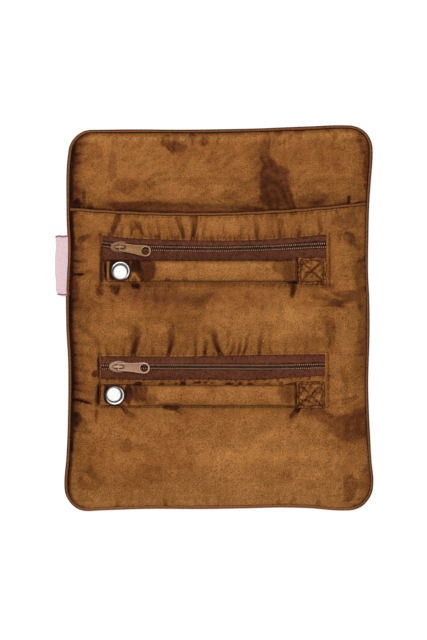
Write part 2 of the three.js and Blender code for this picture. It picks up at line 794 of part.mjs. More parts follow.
// Cap and socket clench the bar's tab; stud and post clench the front panel
function addSnap(name, place) {
  const group = new THREE.Group();
  group.position.set(place.snapX, place.barY, 0);
  root.add(group);
  const tabLow = barLow + bar.height / 2 - bar.tabThickness / 2;
  const tabTop = tabLow + bar.tabThickness;
  const socketTop = tabLow - clearance;
  const socketLow = socketTop - snap.socketHeight;
  const knobTop = socketTop - snap.socketTop - clearance;
  const knobLow = knobTop - snap.knobHeight;
  const studLow = knobLow - snap.flangeThickness;
  const capLow = tabTop + clearance;
  const capBarrelLow = socketTop - snap.socketTop;
  const capTop = capLow + snap.capHeight;
  const domeSteps = 4;
  const dome = [];
  for (let k = 0; k <= domeSteps; k++) {
    const angle = ((k / domeSteps) * Math.PI) / 2;
    const rise = (snap.capHeight - snap.capRim) * Math.sin(angle);
    dome.push([snap.capRadius * Math.cos(angle), capLow + snap.capRim + rise]);
  }
  dome[domeSteps] = [0, capTop];
  const cap = [[0, capBarrelLow], [snap.capBarrel, capBarrelLow], [snap.capBarrel, capLow], [snap.capRadius, capLow]];
  addMesh(name + "_snap_cap", turned([...cap, ...dome], snap.segments), steel, group);
  const bore = snap.knobRadius + clearance;
  const neck = snap.capBarrel + clearance;
  const socket = [
    [bore, socketLow],
    [snap.socketRadius, socketLow],
    [snap.socketRadius, socketTop],
    [neck, socketTop],
    [neck, capBarrelLow],
    [bore, capBarrelLow],
    [bore, socketLow],
  ];
  addMesh(name + "_snap_socket", turned(socket, snap.segments), steel, group);
  const postHole = snap.postBarrel + clearance;
  const roof = knobTop - clearance;
  const stud = [
    [0, roof],
    [postHole, roof],
    [postHole, studLow],
    [snap.flangeRadius, studLow],
    [snap.flangeRadius, knobLow],
    [snap.knobNeck, knobLow],
    [snap.knobRadius, (knobLow + knobTop) / 2],
    [snap.knobNeck, knobTop],
    [0, knobTop],
  ];
  addMesh(name + "_snap_stud", turned(stud, snap.segments), steel, group);
  const flangeTop = bagTop - cloth.bagThickness - clearance;
  const flangeLow = flangeTop - snap.flangeThickness;
  const post = [
    [0, flangeLow],
    [snap.flangeRadius, flangeLow],
    [snap.flangeRadius, flangeTop],
    [snap.postBarrel, flangeTop],
    [snap.postBarrel, roof - clearance],
    [0, roof - clearance],
  ];
  addMesh(name + "_snap_post", turned(post, snap.segments), steel, group);
}

// A bare ribbon over the piping, sloping down to the table outside it
function addLabel() {
  const wrap = THREE.MathUtils.degToRad(label.wrapDegrees);
  const inner = edgePiping.radius + clearance;
  const outer = inner + label.thickness;
  const run = (label.reach + edgePiping.radius - outer * Math.sin(wrap)) / Math.cos(wrap);
  const along = new THREE.Vector2(-Math.cos(wrap), -Math.sin(wrap)).multiplyScalar(run);
  const at = (radius) => new THREE.Vector2(-Math.sin(wrap), Math.cos(wrap)).multiplyScalar(radius);
  const outerTip = at(outer).add(along);
  const innerTip = at(inner).add(along);
  const shape = new THREE.Shape();
  shape.moveTo(0, inner);
  shape.lineTo(0, outer);
  shape.absarc(0, 0, outer, Math.PI / 2, Math.PI / 2 + wrap, false);
  shape.lineTo(outerTip.x, outerTip.y);
  shape.lineTo(innerTip.x, innerTip.y);
  shape.absarc(0, 0, inner, Math.PI / 2 + wrap, Math.PI / 2, true);
  const geometry = new THREE.ExtrudeGeometry(shape, { depth: label.height, bevelEnabled: false, curveSegments: 2 });
  const mesh = addMesh("side_label", geometry.rotateX(Math.PI / 2), ribbon);
  const low = middleFold + label.aboveFold;
  mesh.position.set(-halfWidth - pipingOffset, low + label.height, edgePiping.radius);
}

for (const [name, section] of Object.entries(sections)) addSection(name, section);

const upperPlace = placeOf("upper", middleFold);
const lowerPlace = placeOf("lower", bottomFold);
addMesh("upper_front_panel", openPanel(upperPanelGeometry(), upperPlace), satin);
addMesh("lower_front_panel", openPanel(panelLayer(sections.lower), lowerPlace), satin);
addMesh("bottom_flap_front_panel", panelLayer(sections.bottom_flap), satin);
addMesh("mouth_piping", mouthPipingGeometry(), satinDark);
addMesh("top_flap_piping", flapPipingGeometry(sections.top_flap), satinDark);
addMesh("bottom_flap_piping", flapPipingGeometry(sections.bottom_flap), satinDark);
addSidePiping("upper", sections.upper);
addSidePiping("lower", sections.lower);
addLabel();

for (const [name, place] of Object.entries({ upper: upperPlace, lower: lowerPlace })) {
  addZip(name, place);
  addBar(name, place);
  addSnap(name, place);
}

export default root;
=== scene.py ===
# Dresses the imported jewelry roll: puckered satin, piping, zips, ring bars, snaps and a bare ribbon label.
# Shapes are worked out in millimetres on numpy grids and written to the meshes in metres.
import math
import bmesh
import bpy
import numpy as np
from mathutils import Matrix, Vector


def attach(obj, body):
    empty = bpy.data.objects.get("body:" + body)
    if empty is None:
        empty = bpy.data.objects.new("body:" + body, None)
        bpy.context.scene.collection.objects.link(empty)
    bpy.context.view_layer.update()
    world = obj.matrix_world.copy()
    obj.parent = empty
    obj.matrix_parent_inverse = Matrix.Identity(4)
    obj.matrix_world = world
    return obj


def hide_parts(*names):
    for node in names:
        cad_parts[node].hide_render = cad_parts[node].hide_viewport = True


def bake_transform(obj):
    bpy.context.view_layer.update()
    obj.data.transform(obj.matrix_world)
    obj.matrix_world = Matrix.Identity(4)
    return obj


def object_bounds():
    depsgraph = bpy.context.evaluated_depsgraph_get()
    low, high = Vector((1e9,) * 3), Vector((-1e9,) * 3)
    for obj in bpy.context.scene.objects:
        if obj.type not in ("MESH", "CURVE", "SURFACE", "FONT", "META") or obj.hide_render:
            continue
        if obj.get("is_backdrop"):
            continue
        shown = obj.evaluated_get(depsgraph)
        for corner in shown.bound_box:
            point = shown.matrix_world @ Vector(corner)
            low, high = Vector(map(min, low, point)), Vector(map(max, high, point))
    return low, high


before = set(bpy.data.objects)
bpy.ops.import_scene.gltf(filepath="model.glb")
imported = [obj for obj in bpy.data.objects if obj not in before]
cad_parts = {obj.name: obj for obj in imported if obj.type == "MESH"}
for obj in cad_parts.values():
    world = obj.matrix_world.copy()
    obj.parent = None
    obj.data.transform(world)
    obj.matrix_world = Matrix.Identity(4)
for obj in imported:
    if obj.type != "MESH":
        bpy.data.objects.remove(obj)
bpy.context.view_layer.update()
mm = 0.001
print("scene: frame loaded")

# How the photograph maps to the roll: a pixel's column and row to millimetres on the table
photo = {"width": 427, "height": 640, "mmPerPixel": 0.67, "originColumn": 218.5, "originRow": 319.0}


def fromPhoto(column, row):
    # Offsets from the column and row of the roll's middle, times millimetres per pixel
    scale = photo["mmPerPixel"]
    x = (np.asarray(column, float) - photo["originColumn"]) * scale
    y = (photo["originRow"] - np.asarray(row, float)) * scale
    return x, y


# Camera straight above, far enough to look flat, as in the photograph
camera = {"height": 1700.0, "focusHeight": 6.0}
cameraData = bpy.data.cameras.new("camera")
cameraObject = bpy.data.objects.new("camera", cameraData)
bpy.context.scene.collection.objects.link(cameraObject)
centreX, centreY = fromPhoto(photo["width"] / 2, photo["height"] / 2)
cameraObject.location = (centreX * mm, centreY * mm, camera["height"] * mm)
frameHeight = photo["height"] * photo["mmPerPixel"]
cameraData.sensor_fit = "VERTICAL"
cameraData.angle = 2 * math.atan(frameHeight / 2 / (camera["height"] - camera["focusHeight"]))
cameraData.clip_start = 0.01
cameraData.clip_end = 20
bpy.context.scene.camera = cameraObject
bpy.context.scene.view_settings.view_transform = "Standard"
print("scene: camera set")


def smoothStep(t):
    # From 0 to 1 with no corner at either end
    t = np.clip(t, 0, 1)
    return t * t * (3 - 2 * t)


def bell(t):
    # 1 at 0, falling off to both sides: e to the power of minus the square
    return np.exp(-(t**2))


def signedPower(t, power):
    # A power of the size that keeps the sign
    return np.sign(t) * np.abs(t) ** power


def roundTurn(count):
    # Angles once round, the last one short of the first
    return np.linspace(0, 2 * np.pi, count, endpoint=False)


def curveThrough(points):
    # A smooth curve through pairs of place and value: cubic pieces whose slopes are those between the neighbours
    at, value = np.array(points, float).T
    slope = np.gradient(value, at)

    def curve(x):
        x = np.clip(x, at[0], at[-1])
        i = np.clip(np.searchsorted(at, x) - 1, 0, len(at) - 2)
        run = at[i + 1] - at[i]
        t = (x - at[i]) / run
        rising = (1 + 2 * t) * (1 - t) ** 2 * value[i] + t * (1 - t) ** 2 * run * slope[i]
        return rising + t * t * (3 - 2 * t) * value[i + 1] + t * t * (t - 1) * run * slope[i + 1]

    return curve


def waves(x, y, length, seed, count=14, stretch=1.0):
    # Soft seeded noise: a sum of plane waves of about one length in all directions, about -1 to 1
    rng = np.random.default_rng(seed)
    total = np.zeros(np.broadcast(x, y).shape)
    angles, sizes, phases = rng.uniform(0, np.pi, count), rng.uniform(0.65, 1.5, count), rng.uniform(0, 6.28, count)
    for angle, size, phase in zip(angles, sizes, phases):
        k = 2 * np.pi / (length * size)
        total += np.sin(k * (x * np.cos(angle) + y * stretch * np.sin(angle)) + phase)
    return total / math.sqrt(count)


def makePiece(name, points, faces, material, smooth=True, fields=None, normals=None):
    # points in mm, faces a list of index arrays, one for each number of corners
    faces = [np.asarray(f, np.int32) for f in faces if len(f)]
    mesh = bpy.data.meshes.new(name)
    mesh.vertices.add(len(points))
    mesh.vertices.foreach_set("co", (np.asarray(points, float) * mm).astype(np.float32).ravel())
    loops = np.concatenate([f.ravel() for f in faces])
    sizes = np.concatenate([np.full(len(f), f.shape[1], np.int32) for f in faces])
    mesh.loops.add(len(loops))
    mesh.loops.foreach_set("vertex_index", loops)
    mesh.polygons.add(len(sizes))
    mesh.polygons.foreach_set("loop_start", (np.cumsum(sizes) - sizes).astype(np.int32))
    mesh.polygons.foreach_set("use_smooth", np.full(len(sizes), smooth))
    mesh.update(calc_edges=True)
    for label, values in (fields or {}).items():
        attribute = mesh.attributes.new(label, "FLOAT", "POINT")
        attribute.data.foreach_set("value", np.asarray(values, np.float32).ravel())
    if normals is not None:
        mesh.normals_split_custom_set_from_vertices(np.asarray(normals, float).reshape(-1, 3).tolist())
    piece = bpy.data.objects.new(name, mesh)
    bpy.context.scene.collection.objects.link(piece)
    mesh.materials.append(material)
    return piece


def gridNormals(grid):
    # Normals of a surface given as rows and columns of points: the cross product of its two directions
    across = np.gradient(grid, axis=1)
    along = np.gradient(grid, axis=0)
    normal = np.cross(across, along)
    return normal / np.maximum(np.linalg.norm(normal, axis=2, keepdims=True), 1e-9)


def closedSheet(top, bottom, keep=None):
    # A sheet with an upper and a lower face on the same grid, closed round its rim and round any hole in keep
    rows, columns = top.shape[:2]
    keep = np.ones((rows - 1, columns - 1), bool) if keep is None else keep
    index = np.arange(rows * columns).reshape(rows, columns)
    a, b, c, d = index[:-1, :-1], index[:-1, 1:], index[1:, 1:], index[1:, :-1]
    upper = np.stack([a, b, c, d], -1)[keep]
    count = rows * columns
    ring = np.pad(keep, 1)
    sides = []
    for beside, p, q in (
        (ring[:-2, 1:-1], a, b), (ring[1:-1, 2:], b, c), (ring[2:, 1:-1], c, d), (ring[1:-1, :-2], d, a),
    ):
        atRim = keep & ~beside
        p, q = p[atRim], q[atRim]
        sides.append(np.stack([q, p, p + count, q + count], -1))
    points = np.concatenate([top.reshape(-1, 3), bottom.reshape(-1, 3)])
    faces = np.concatenate([upper, upper[:, ::-1] + count] + sides)
    used = np.zeros(2 * count, bool)
    used[faces.ravel()] = True
    renumber = np.cumsum(used) - 1
    return points[used], [renumber[faces]], used


def loftFaces(rings):
    # Rings of points joined into a closed body, with a face at each end
    count, sides = rings.shape[:2]
    index = np.arange(count * sides).reshape(count, sides)
    after = np.roll(index, -1, axis=1)
    quads = np.stack([index[:-1], after[:-1], after[1:], index[1:]], -1).reshape(-1, 4)
    points = rings.reshape(-1, 3)
    first, last = index[0][::-1][None], index[-1][None]
    # turn the faces over if the body came out inside out
    a, b, c, d = (points[quads[:, i]] for i in range(4))
    volume = (a * np.cross(b, c)).sum() + (a * np.cross(c, d)).sum()
    if volume < 0:
        quads, first, last = quads[:, ::-1], first[:, ::-1], last[:, ::-1]
    return points, [quads, np.concatenate([first, last])]


def capsules(starts, ends, radius, sides=6):
    # Many short rounded rods at once, each from its start to its end
    starts, ends = np.asarray(starts, float), np.asarray(ends, float)
    along = ends - starts
    length = np.linalg.norm(along, axis=1, keepdims=True)
    along = along / np.maximum(length, 1e-9)
    side = np.cross(along, [0, 0, 1.0])
    side /= np.maximum(np.linalg.norm(side, axis=1, keepdims=True), 1e-9)
    up = np.cross(side, along)
    stations = np.array([0.0, 0.5, 1.0, 1.0, 0.5, 0.0])  # share of the radius that each ring has run inwards
    shares = np.array([0.35, 0.85, 1.0, 1.0, 0.85, 0.35])
    turn = roundTurn(sides)
    near = starts[:, None] + along[:, None] * (stations[:3, None] * radius)[None]
    far = ends[:, None] - along[:, None] * (stations[3:, None] * radius)[None]
    centres = np.concatenate([near, far], 1)
    ring = np.cos(turn)[None, :, None] * side[:, None] + np.sin(turn)[None, :, None] * up[:, None]
    points = centres[:, :, None] + radius * shares[None, :, None, None] * ring[:, None]
    rings = len(stations)
    index = np.arange(rings * sides).reshape(rings, sides)
    after = np.roll(index, -1, axis=1)
    quads = np.stack([index[:-1], index[1:], after[1:], after[:-1]], -1).reshape(-1, 4)
    caps = np.stack([index[0], index[-1][::-1]])
    sample = points[0].reshape(-1, 3)
    a, b, c = (sample[quads[:, i]] - sample.mean(0) for i in range(3))
    if (a * np.cross(b, c)).sum() < 0:
        quads, caps = quads[:, ::-1], caps[:, ::-1]
    offset = (np.arange(len(starts)) * rings * sides)[:, None, None]
    return points.reshape(-1, 3), [(quads[None] + offset).reshape(-1, 4), (caps[None] + offset).reshape(-1, sides)]


print("scene: mesh tools ready")


def addNode(tree, kind, inputs=None, **settings):
    # A shader node with its settings; an input takes a value or another node's output
    made = tree.nodes.new(kind)
    for key, value in settings.items():
        setattr(made, key, value)
    for key, value in (inputs or {}).items():
        socket = made.inputs[key]
        if isinstance(value, bpy.types.NodeSocket):
            tree.links.new(value, socket)
        else:
            socket.default_value = value
    return made


def newGroup(name, inputs, outputs):
    # A shared shader group with its inputs and outputs named
    tree = bpy.data.node_groups.new(name, "ShaderNodeTree")
    for label, (kind, value) in inputs.items():
        socket = tree.interface.new_socket(label, in_out="INPUT", socket_type=kind)
        if value is not None:
            socket.default_value = value
    for label, kind in outputs.items():
        tree.interface.new_socket(label, in_out="OUTPUT", socket_type=kind)
    return tree, tree.nodes.new("NodeGroupInput").outputs, tree.nodes.new("NodeGroupOutput").inputs


def math2(tree, operation, a, b=0.0, clamp=False):
    # One step of arithmetic on two values
    return addNode(tree, "ShaderNodeMath", {0: a, 1: b}, operation=operation, use_clamp=clamp).outputs[0]


def centred(tree, value, share):
    # A noise's swing to both sides of its middle, times a share
    return math2(tree, "MULTIPLY", math2(tree, "SUBTRACT", value, 0.5), share)


def mixColours(tree, factor, first, second):
    # The first colour where the factor is 0, the second where it is 1
    return addNode(tree, "ShaderNodeMix", {"Factor": factor, 6: first, 7: second}, data_type="RGBA").outputs[2]


def objectPlace(tree):
    # Where a point is on its own piece, in metres
    return addNode(tree, "ShaderNodeTexCoord").outputs["Object"]


def noiseAt(tree, place, scale, detail, **more):
    # Noise from 0 to 1, finer the larger the scale
    inputs = {"Vector": place, "Scale": scale, "Detail": detail, **more}
    return addNode(tree, "ShaderNodeTexNoise", inputs).outputs["Fac"]


def stretchedNoise(tree, place, scales, detail):
    # Noise drawn out along one axis, as slubs and scratches are
    stretched = addNode(tree, "ShaderNodeMapping", {"Vector": place, "Scale": scales}).outputs[0]
    return noiseAt(tree, stretched, 1.0, detail)


def shadeAttribute(tree, name="shade"):
    # A value that the mesh carries at its points
    return addNode(tree, "ShaderNodeAttribute", attribute_name=name).outputs["Fac"]


plainColour, plainValue = "NodeSocketColor", "NodeSocketFloat"
black = (0, 0, 0, 1)


def makeSatinGroup():
    # Satin: a fine grain, slubs in the weft and cloudy variation; Shade runs from 0, a deep fold, to 1, the lights
    tree, given, out = newGroup(
        "satinCloth",
        {
            "Shade": (plainValue, 0.5), "Deep": (plainColour, black), "Dusk": (plainColour, black),
            "Body": (plainColour, black), "Light": (plainColour, black),
            "Grain": (plainValue, 0.2), "Cloud": (plainValue, 0.2),
        },
        {"Color": plainColour, "Roughness": plainValue, "Height": plainValue},
    )
    place = objectPlace(tree)
    fine = noiseAt(tree, place, 1350, 2, Roughness=0.7)
    coarse = noiseAt(tree, place, 300, 2, Roughness=0.6)
    cloud = noiseAt(tree, place, 34, 3, Roughness=0.5)
    slub = stretchedNoise(tree, place, (90, 1900, 400), 2)
    mixed = 0.0
    for noise, share in ((fine, 4.8), (coarse, 0.1), (slub, 0.35)):
        mixed = math2(tree, "ADD", centred(tree, noise, share), mixed)
    shade = math2(tree, "ADD", given["Shade"], centred(tree, cloud, given["Cloud"]), clamp=True)
    colour = given["Deep"]
    for label, start, end in (("Dusk", 0.0, 0.25), ("Body", 0.25, 0.5), ("Light", 0.5, 1.0)):
        part = addNode(tree, "ShaderNodeMapRange", {"Value": shade, "From Min": start, "From Max": end}).outputs[0]
        colour = mixColours(tree, part, colour, given[label])
    # the grain makes the colour a little lighter or darker
    strength = math2(tree, "ADD", math2(tree, "MULTIPLY", mixed, given["Grain"]), 1.0)
    grained = addNode(tree, "ShaderNodeVectorMath", {0: colour, "Scale": strength}, operation="SCALE")
    tree.links.new(grained.outputs[0], out["Color"])
    rough = addNode(
        tree, "ShaderNodeMapRange", {"Value": mixed, "From Min": -0.5, "From Max": 0.5, "To Min": 0.36, "To Max": 0.52},
    )
    tree.links.new(rough.outputs[0], out["Roughness"])
    tree.links.new(mixed, out["Height"])
    return tree


def makeWeaveGroup():
    # Woven tape and ribbon: ribs one way, threads the other, with a little noise
    tree, given, out = newGroup(
        "wovenThreads",
        {
            "Dark": (plainColour, black), "Pale": (plainColour, black), "Ribs": (plainValue, 1200.0),
            "Threads": (plainValue, 2600.0), "Shade": (plainValue, 0.5),
        },
        {"Color": plainColour, "Height": plainValue},
    )
    place = objectPlace(tree)
    split = addNode(tree, "ShaderNodeSeparateXYZ", {0: place}).outputs
    rib, threads = (
        math2(tree, "SINE", math2(tree, "MULTIPLY", split[axis], math2(tree, "MULTIPLY", given[count], 6.2832)))
        for axis, count in (("X", "Ribs"), ("Y", "Threads"))
    )
    weave = math2(tree, "MULTIPLY_ADD", math2(tree, "MULTIPLY", rib, threads), 0.25)
    rough = centred(tree, noiseAt(tree, place, 850, 3, Roughness=0.75), 1.9)
    relief = math2(tree, "ADD", rough, math2(tree, "MULTIPLY", weave, 0.2))
    total = math2(tree, "ADD", given["Shade"], relief, clamp=True)
    tree.links.new(mixColours(tree, total, given["Dark"], given["Pale"]), out["Color"])
    tree.links.new(math2(tree, "ADD", weave, rough), out["Height"])
    return tree


def makeMetalGroup():
    # Lacquered and polished metal: fine scratches and worn, brighter edges
    tree, given, out = newGroup(
        "wornMetal",
        {
            "Body": (plainColour, black), "Worn": (plainColour, black), "Wear": (plainValue, 0.5),
            "Rough": (plainValue, 0.3),
        },
        {"Color": plainColour, "Roughness": plainValue, "Height": plainValue},
    )
    place = objectPlace(tree)
    scratch = stretchedNoise(tree, place, (300, 2400, 900), 3)
    speck = noiseAt(tree, place, 1500, 2)
    edges = addNode(tree, "ShaderNodeNewGeometry").outputs["Pointiness"]
    edge = addNode(tree, "ShaderNodeMapRange", {"Value": edges, "From Min": 0.5, "From Max": 0.58}).outputs[0]
    worn = math2(tree, "ADD", math2(tree, "MULTIPLY", edge, given["Wear"]), centred(tree, speck, 0.5), clamp=True)
    tree.links.new(mixColours(tree, worn, given["Body"], given["Worn"]), out["Color"])
    rough = math2(tree, "ADD", given["Rough"], centred(tree, scratch, 0.2), clamp=True)
    tree.links.new(rough, out["Roughness"])
    tree.links.new(scratch, out["Height"])
    return tree


satinGroup, weaveGroup, metalGroup = makeSatinGroup(), makeWeaveGroup(), makeMetalGroup()


def linear(red, green, blue):
    # A colour as the eye reads it, 0 to 255, to the values that the shader takes
    values = np.array([red, green, blue]) / 255
    return tuple(np.where(values <= 0.04045, values / 12.92, ((values + 0.055) / 1.055) ** 2.4)) + (1.0,)


def groupMaterial(name, group, values, relief, settings, useShade=False):
    # A material whose colour and relief come from a shared group; relief is the bump's strength and its height
    material = bpy.data.materials.new(name)
    material.use_nodes = True
    tree = material.node_tree
    shader = tree.nodes["Principled BSDF"]
    made = addNode(tree, "ShaderNodeGroup", values, node_tree=group)
    if useShade:
        tree.links.new(shadeAttribute(tree), made.inputs["Shade"])
    tree.links.new(made.outputs["Color"], shader.inputs["Base Color"])
    if "Roughness" in made.outputs:
        tree.links.new(made.outputs["Roughness"], shader.inputs["Roughness"])
    strength, height = relief
    dent = addNode(tree, "ShaderNodeBump", {"Height": made.outputs["Height"], "Strength": strength, "Distance": height})
    tree.links.new(dent.outputs[0], shader.inputs["Normal"])
    for label, value in settings.items():
        shader.inputs[label].default_value = value
    return material


def satinMaterial(name, colours, grain=0.68, cloud=0.24, useShade=True):
    # colours: those of a deep fold, of cloth turned from the light, of plain cloth and of its lights
    values = {label: linear(*colour) for label, colour in zip(("Deep", "Dusk", "Body", "Light"), colours)}
    settings = {
        "Metallic": 0.55, "Sheen Weight": 0.03, "Sheen Roughness": 0.35, "Sheen Tint": linear(215, 165, 110),
        "Specular IOR Level": 0.08,
    }
    values |= {"Grain": grain, "Cloud": cloud}
    return groupMaterial(name, satinGroup, values, (0.5, 0.00006), settings, useShade)


satin = satinMaterial("satin", ((30, 9, 2), (94, 48, 22), (134, 82, 36), (184, 126, 68)))
pipingSatin = satinMaterial("pipingSatin", ((26, 8, 2), (70, 34, 14), (122, 74, 38), (166, 110, 62)), 0.4, 0.12)
bagSatin = satinMaterial("bagSatin", ((40, 16, 5), (80, 42, 20), (122, 72, 34), (150, 98, 54)), useShade=False)


def wovenMaterial(name, dark, pale, roughness, ribs=700.0, threads=1500.0, bump=0.00005, useShade=True, sheen=0.2):
    # Threads between a dark and a pale colour; ribs and threads are counted per metre
    values = {"Dark": linear(*dark), "Pale": linear(*pale), "Ribs": ribs, "Threads": threads}
    settings = {"Roughness": roughness, "Sheen Weight": sheen, "Specular IOR Level": 0.12}
    return groupMaterial(name, weaveGroup, values, (0.6, bump), settings, useShade)


tapeWeave = wovenMaterial("tapeWeave", (36, 12, 7), (140, 78, 52), 0.8, sheen=0.03)
toothNylon = wovenMaterial("toothNylon", (50, 22, 14), (228, 180, 140), 0.4, ribs=300, threads=300, sheen=0.0)
thread = wovenMaterial("thread", (58, 28, 10), (120, 72, 34), 0.7, ribs=900, threads=2600, useShade=False, sheen=0.0)
wadding = wovenMaterial(
    "wadding", (205, 200, 188), (240, 236, 226), 0.95, ribs=180, threads=140, bump=0.0004, useShade=False,
)


def metalMaterial(name, body, worn, rough, metallic=0.5, wear=0.6):
    # A metal in its own colour, with worn and brighter edges
    values = {"Body": linear(*body), "Worn": linear(*worn), "Wear": wear, "Rough": rough}
    return groupMaterial(name, metalGroup, values, (0.3, 0.00001), {"Metallic": metallic})


# Each zip's metal in lit and shaded copies: the slider's, a dark copy painted as shade on the pull's outline and the
# slider's boss, the pull's own, and a bright copy painted as highlight on the rims and the crown; each has a body and a
# worn colour
zipMetals, shadowMetals, pullMetals, highlightMetals = (
    {
        name: metalMaterial(name + label, body, worn, rough, metallic)
        for name, (body, worn) in zip(("upper", "lower"), colours)
    }
    for label, rough, metallic, colours in (
        ("ZipMetal", 0.42, 0.5, (((112, 70, 48), (176, 126, 94)), ((146, 102, 78), (214, 170, 144)))),
        ("ZipShadow", 0.6, 0.3, (((34, 18, 12), (64, 38, 24)), ((44, 24, 18), (80, 52, 40)))),
        ("PullMetal", 0.42, 0.5, (((126, 84, 44), (180, 134, 84)), ((150, 106, 78), (204, 164, 136)))),
        ("ZipHighlight", 0.35, 0.5, (((150, 106, 66), (196, 152, 104)), ((186, 144, 118), (226, 190, 166)))),
    )
)
snapChrome = metalMaterial("snapChrome", (226, 226, 222), (245, 245, 242), 0.12, metallic=1.0, wear=0.3)


def makeCapChrome():
    # The caps' chrome, mixed to a dark brown where their shade is 0: a painted reflection of the dark cloth round them
    # and painted shade in the groove
    material = metalMaterial("capChrome", (250, 250, 246), (255, 255, 252), 0.2, metallic=0.7, wear=0.3)
    tree = material.node_tree
    base = tree.nodes["Principled BSDF"].inputs["Base Color"]
    chrome = base.links[0].from_socket
    tree.links.new(mixColours(tree, shadeAttribute(tree), linear(38, 28, 22), chrome), base)
    return material


def makeRibbon():
    # The label's ribbon: pale satin weave with a woven line along both ends
    values = {
        "Dark": linear(250, 180, 194), "Pale": linear(255, 230, 237), "Ribs": 2200.0, "Threads": 900.0, "Shade": 0.7,
    }
    settings = {"Roughness": 0.5, "Sheen Weight": 0.3}
    material = groupMaterial("ribbon", weaveGroup, values, (0.5, 0.00004), settings)
    tree = material.node_tree
    base = tree.nodes["Principled BSDF"].inputs["Base Color"]
    fromLine = math2(tree, "ABSOLUTE", math2(tree, "SUBTRACT", shadeAttribute(tree, "edge"), 0.75))
    line = addNode(
        tree, "ShaderNodeMapRange",
        {"Value": fromLine, "From Min": 0.25, "From Max": 0.7, "To Min": 1.0, "To Max": 0.0},
    )
    woven = base.links[0].from_socket
    tree.links.new(mixColours(tree, line.outputs[0], woven, linear(150, 62, 84)), base)
    return material


capChrome, ribbon = makeCapChrome(), makeRibbon()
print("scene: materials ready")


# The roll's outline, as sewn: a rounded rectangle whose sides wander a little
layout = {
    "halfWidth": 97.7, "top": 124.63, "bottom": -124.7, "arc": 11.7, "crownRun": 15.0,
    "splitUpper": 35.0, "splitLower": -33.0, "windowLeft": -77.7, "windowRight": 72.3, "lowerShift": -1.0,
}
# How far each side stands out past the straight line, in mm, at places along it
sideStandsOut = {
    "left": curveThrough([
        (-124, 1.2), (-111, 2.5), (-94, 1.2), (-81, 0.6), (-67, 0.2), (-40, -0.2), (-27, 0), (-7, 1.2),
        (13, 1.5), (53, 0.3), (63, 0.9), (80, 1.2), (103, 0.8), (117, -0.5), (124, -0.8),
    ]),
    "right": curveThrough([
        (-121, 1.7), (-109, 3), (-95, 1.8), (-81, 1), (-67, 0.2), (-47, -0.4), (-14, 0.4), (13, 0.3),
        (33, -0.5), (53, -0.4), (80, 0.5), (93, 1.4), (110, 2.5), (120, 2.2),
    ]),
    "top": curveThrough([
        (-97, -0.9), (-86, -0.8), (-59, -0.6), (1, -0.5), (21, 0), (41, 0.7), (61, 1.4), (81, 2.3), (93, 2.0),
    ]),
    "bottom": curveThrough([
        (-93, 1.6), (-79, 0.6), (-59, -0.2), (-12, -0.4), (21, -0.8), (41, -1.4), (61, -0.9), (81, 0.7), (92, 0.5),
    ]),
}
edgeReach = 25.0  # the wandering fades out this far inside


def wander(x, y):
    # Moves points near a side by what that side stands out there
    half, top, bottom = layout["halfWidth"], layout["top"], layout["bottom"]
    left = sideStandsOut["left"](y) * smoothStep(1 - (x + half) / edgeReach)
    right = sideStandsOut["right"](y) * smoothStep(1 - (half - x) / edgeReach)
    up = sideStandsOut["top"](x) * smoothStep(1 - (top - y) / edgeReach)
    down = sideStandsOut["bottom"](x) * smoothStep(1 - (y - bottom) / edgeReach)
    return x + right - left, y + up - down


def seamDistance(x, y):
    # How far inside the seam a point is: the distance to a rounded rectangle
    half, arc = layout["halfWidth"], layout["arc"]
    middle, halfLength = (layout["top"] + layout["bottom"]) / 2, (layout["top"] - layout["bottom"]) / 2
    qx, qy = np.abs(x) - (half - arc), np.abs(y - middle) - (halfLength - arc)
    return arc - np.hypot(np.maximum(qx, 0), np.maximum(qy, 0)) - np.minimum(np.maximum(qx, qy), 0)


def underPiping(x, y):
    # The last grid line runs on outwards under the piping, so that no light shows between them
    distance = seamDistance(x, y)
    reach = 1.55 * np.exp(-np.maximum(distance, 0) / 0.25)
    half, middle = layout["halfWidth"] - layout["arc"], (layout["top"] + layout["bottom"]) / 2
    halfLength = (layout["top"] - layout["bottom"]) / 2 - layout["arc"]
    qx, qy = np.abs(x) - half, np.abs(y - middle) - halfLength
    dx, dy = np.maximum(qx, 0), np.maximum(qy, 0)
    size = np.maximum(np.hypot(dx, dy), 1e-6)
    return x + reach * dx / size * np.sign(x), y + reach * dy / size * np.sign(y - middle)


def crownShare(distance, run):
    # A quarter ellipse: 0 at the seam, 1 past the run
    t = np.clip(distance / run, 0, 1)
    return np.sqrt(1 - (1 - t) ** 2)


def halfWidthAt(y):
    # Half the seam-to-seam width at a height, less in the corner arcs
    half, arc = layout["halfWidth"], layout["arc"]
    deep = np.clip(np.minimum(layout["top"] - y, y - layout["bottom"]), 0, arc)
    return half - arc + np.sqrt(np.maximum(arc**2 - (arc - deep) ** 2, 0))


def rowStations(low, high, step, corner=None):
    # Heights of the grid's rows, closer together round a corner arc
    arc = layout["arc"]
    turn = arc * (1 - np.cos(np.linspace(0, np.pi / 2, 16)))
    if corner == "bottom":
        rest = np.linspace(low + arc, high, max(2, round((high - low - arc) / step)))
        return np.concatenate([low + turn, rest[1:]])
    if corner == "top":
        rest = np.linspace(low, high - arc, max(2, round((high - low - arc) / step)))
        return np.concatenate([rest[:-1], high - turn[::-1]])
    return np.linspace(low, high, max(2, round((high - low) / step)))


# The mouth of the open pocket
mouth = {"middle": 69.43, "sag": 5.1, "rise": 1.8, "radius": 1.25}


def mouthAt(x):
    # The mouth's line: a parabola about the middle, tilted a little up to the right
    share = x / layout["halfWidth"]
    return mouth["middle"] + mouth["rise"] * share + mouth["sag"] * share**2


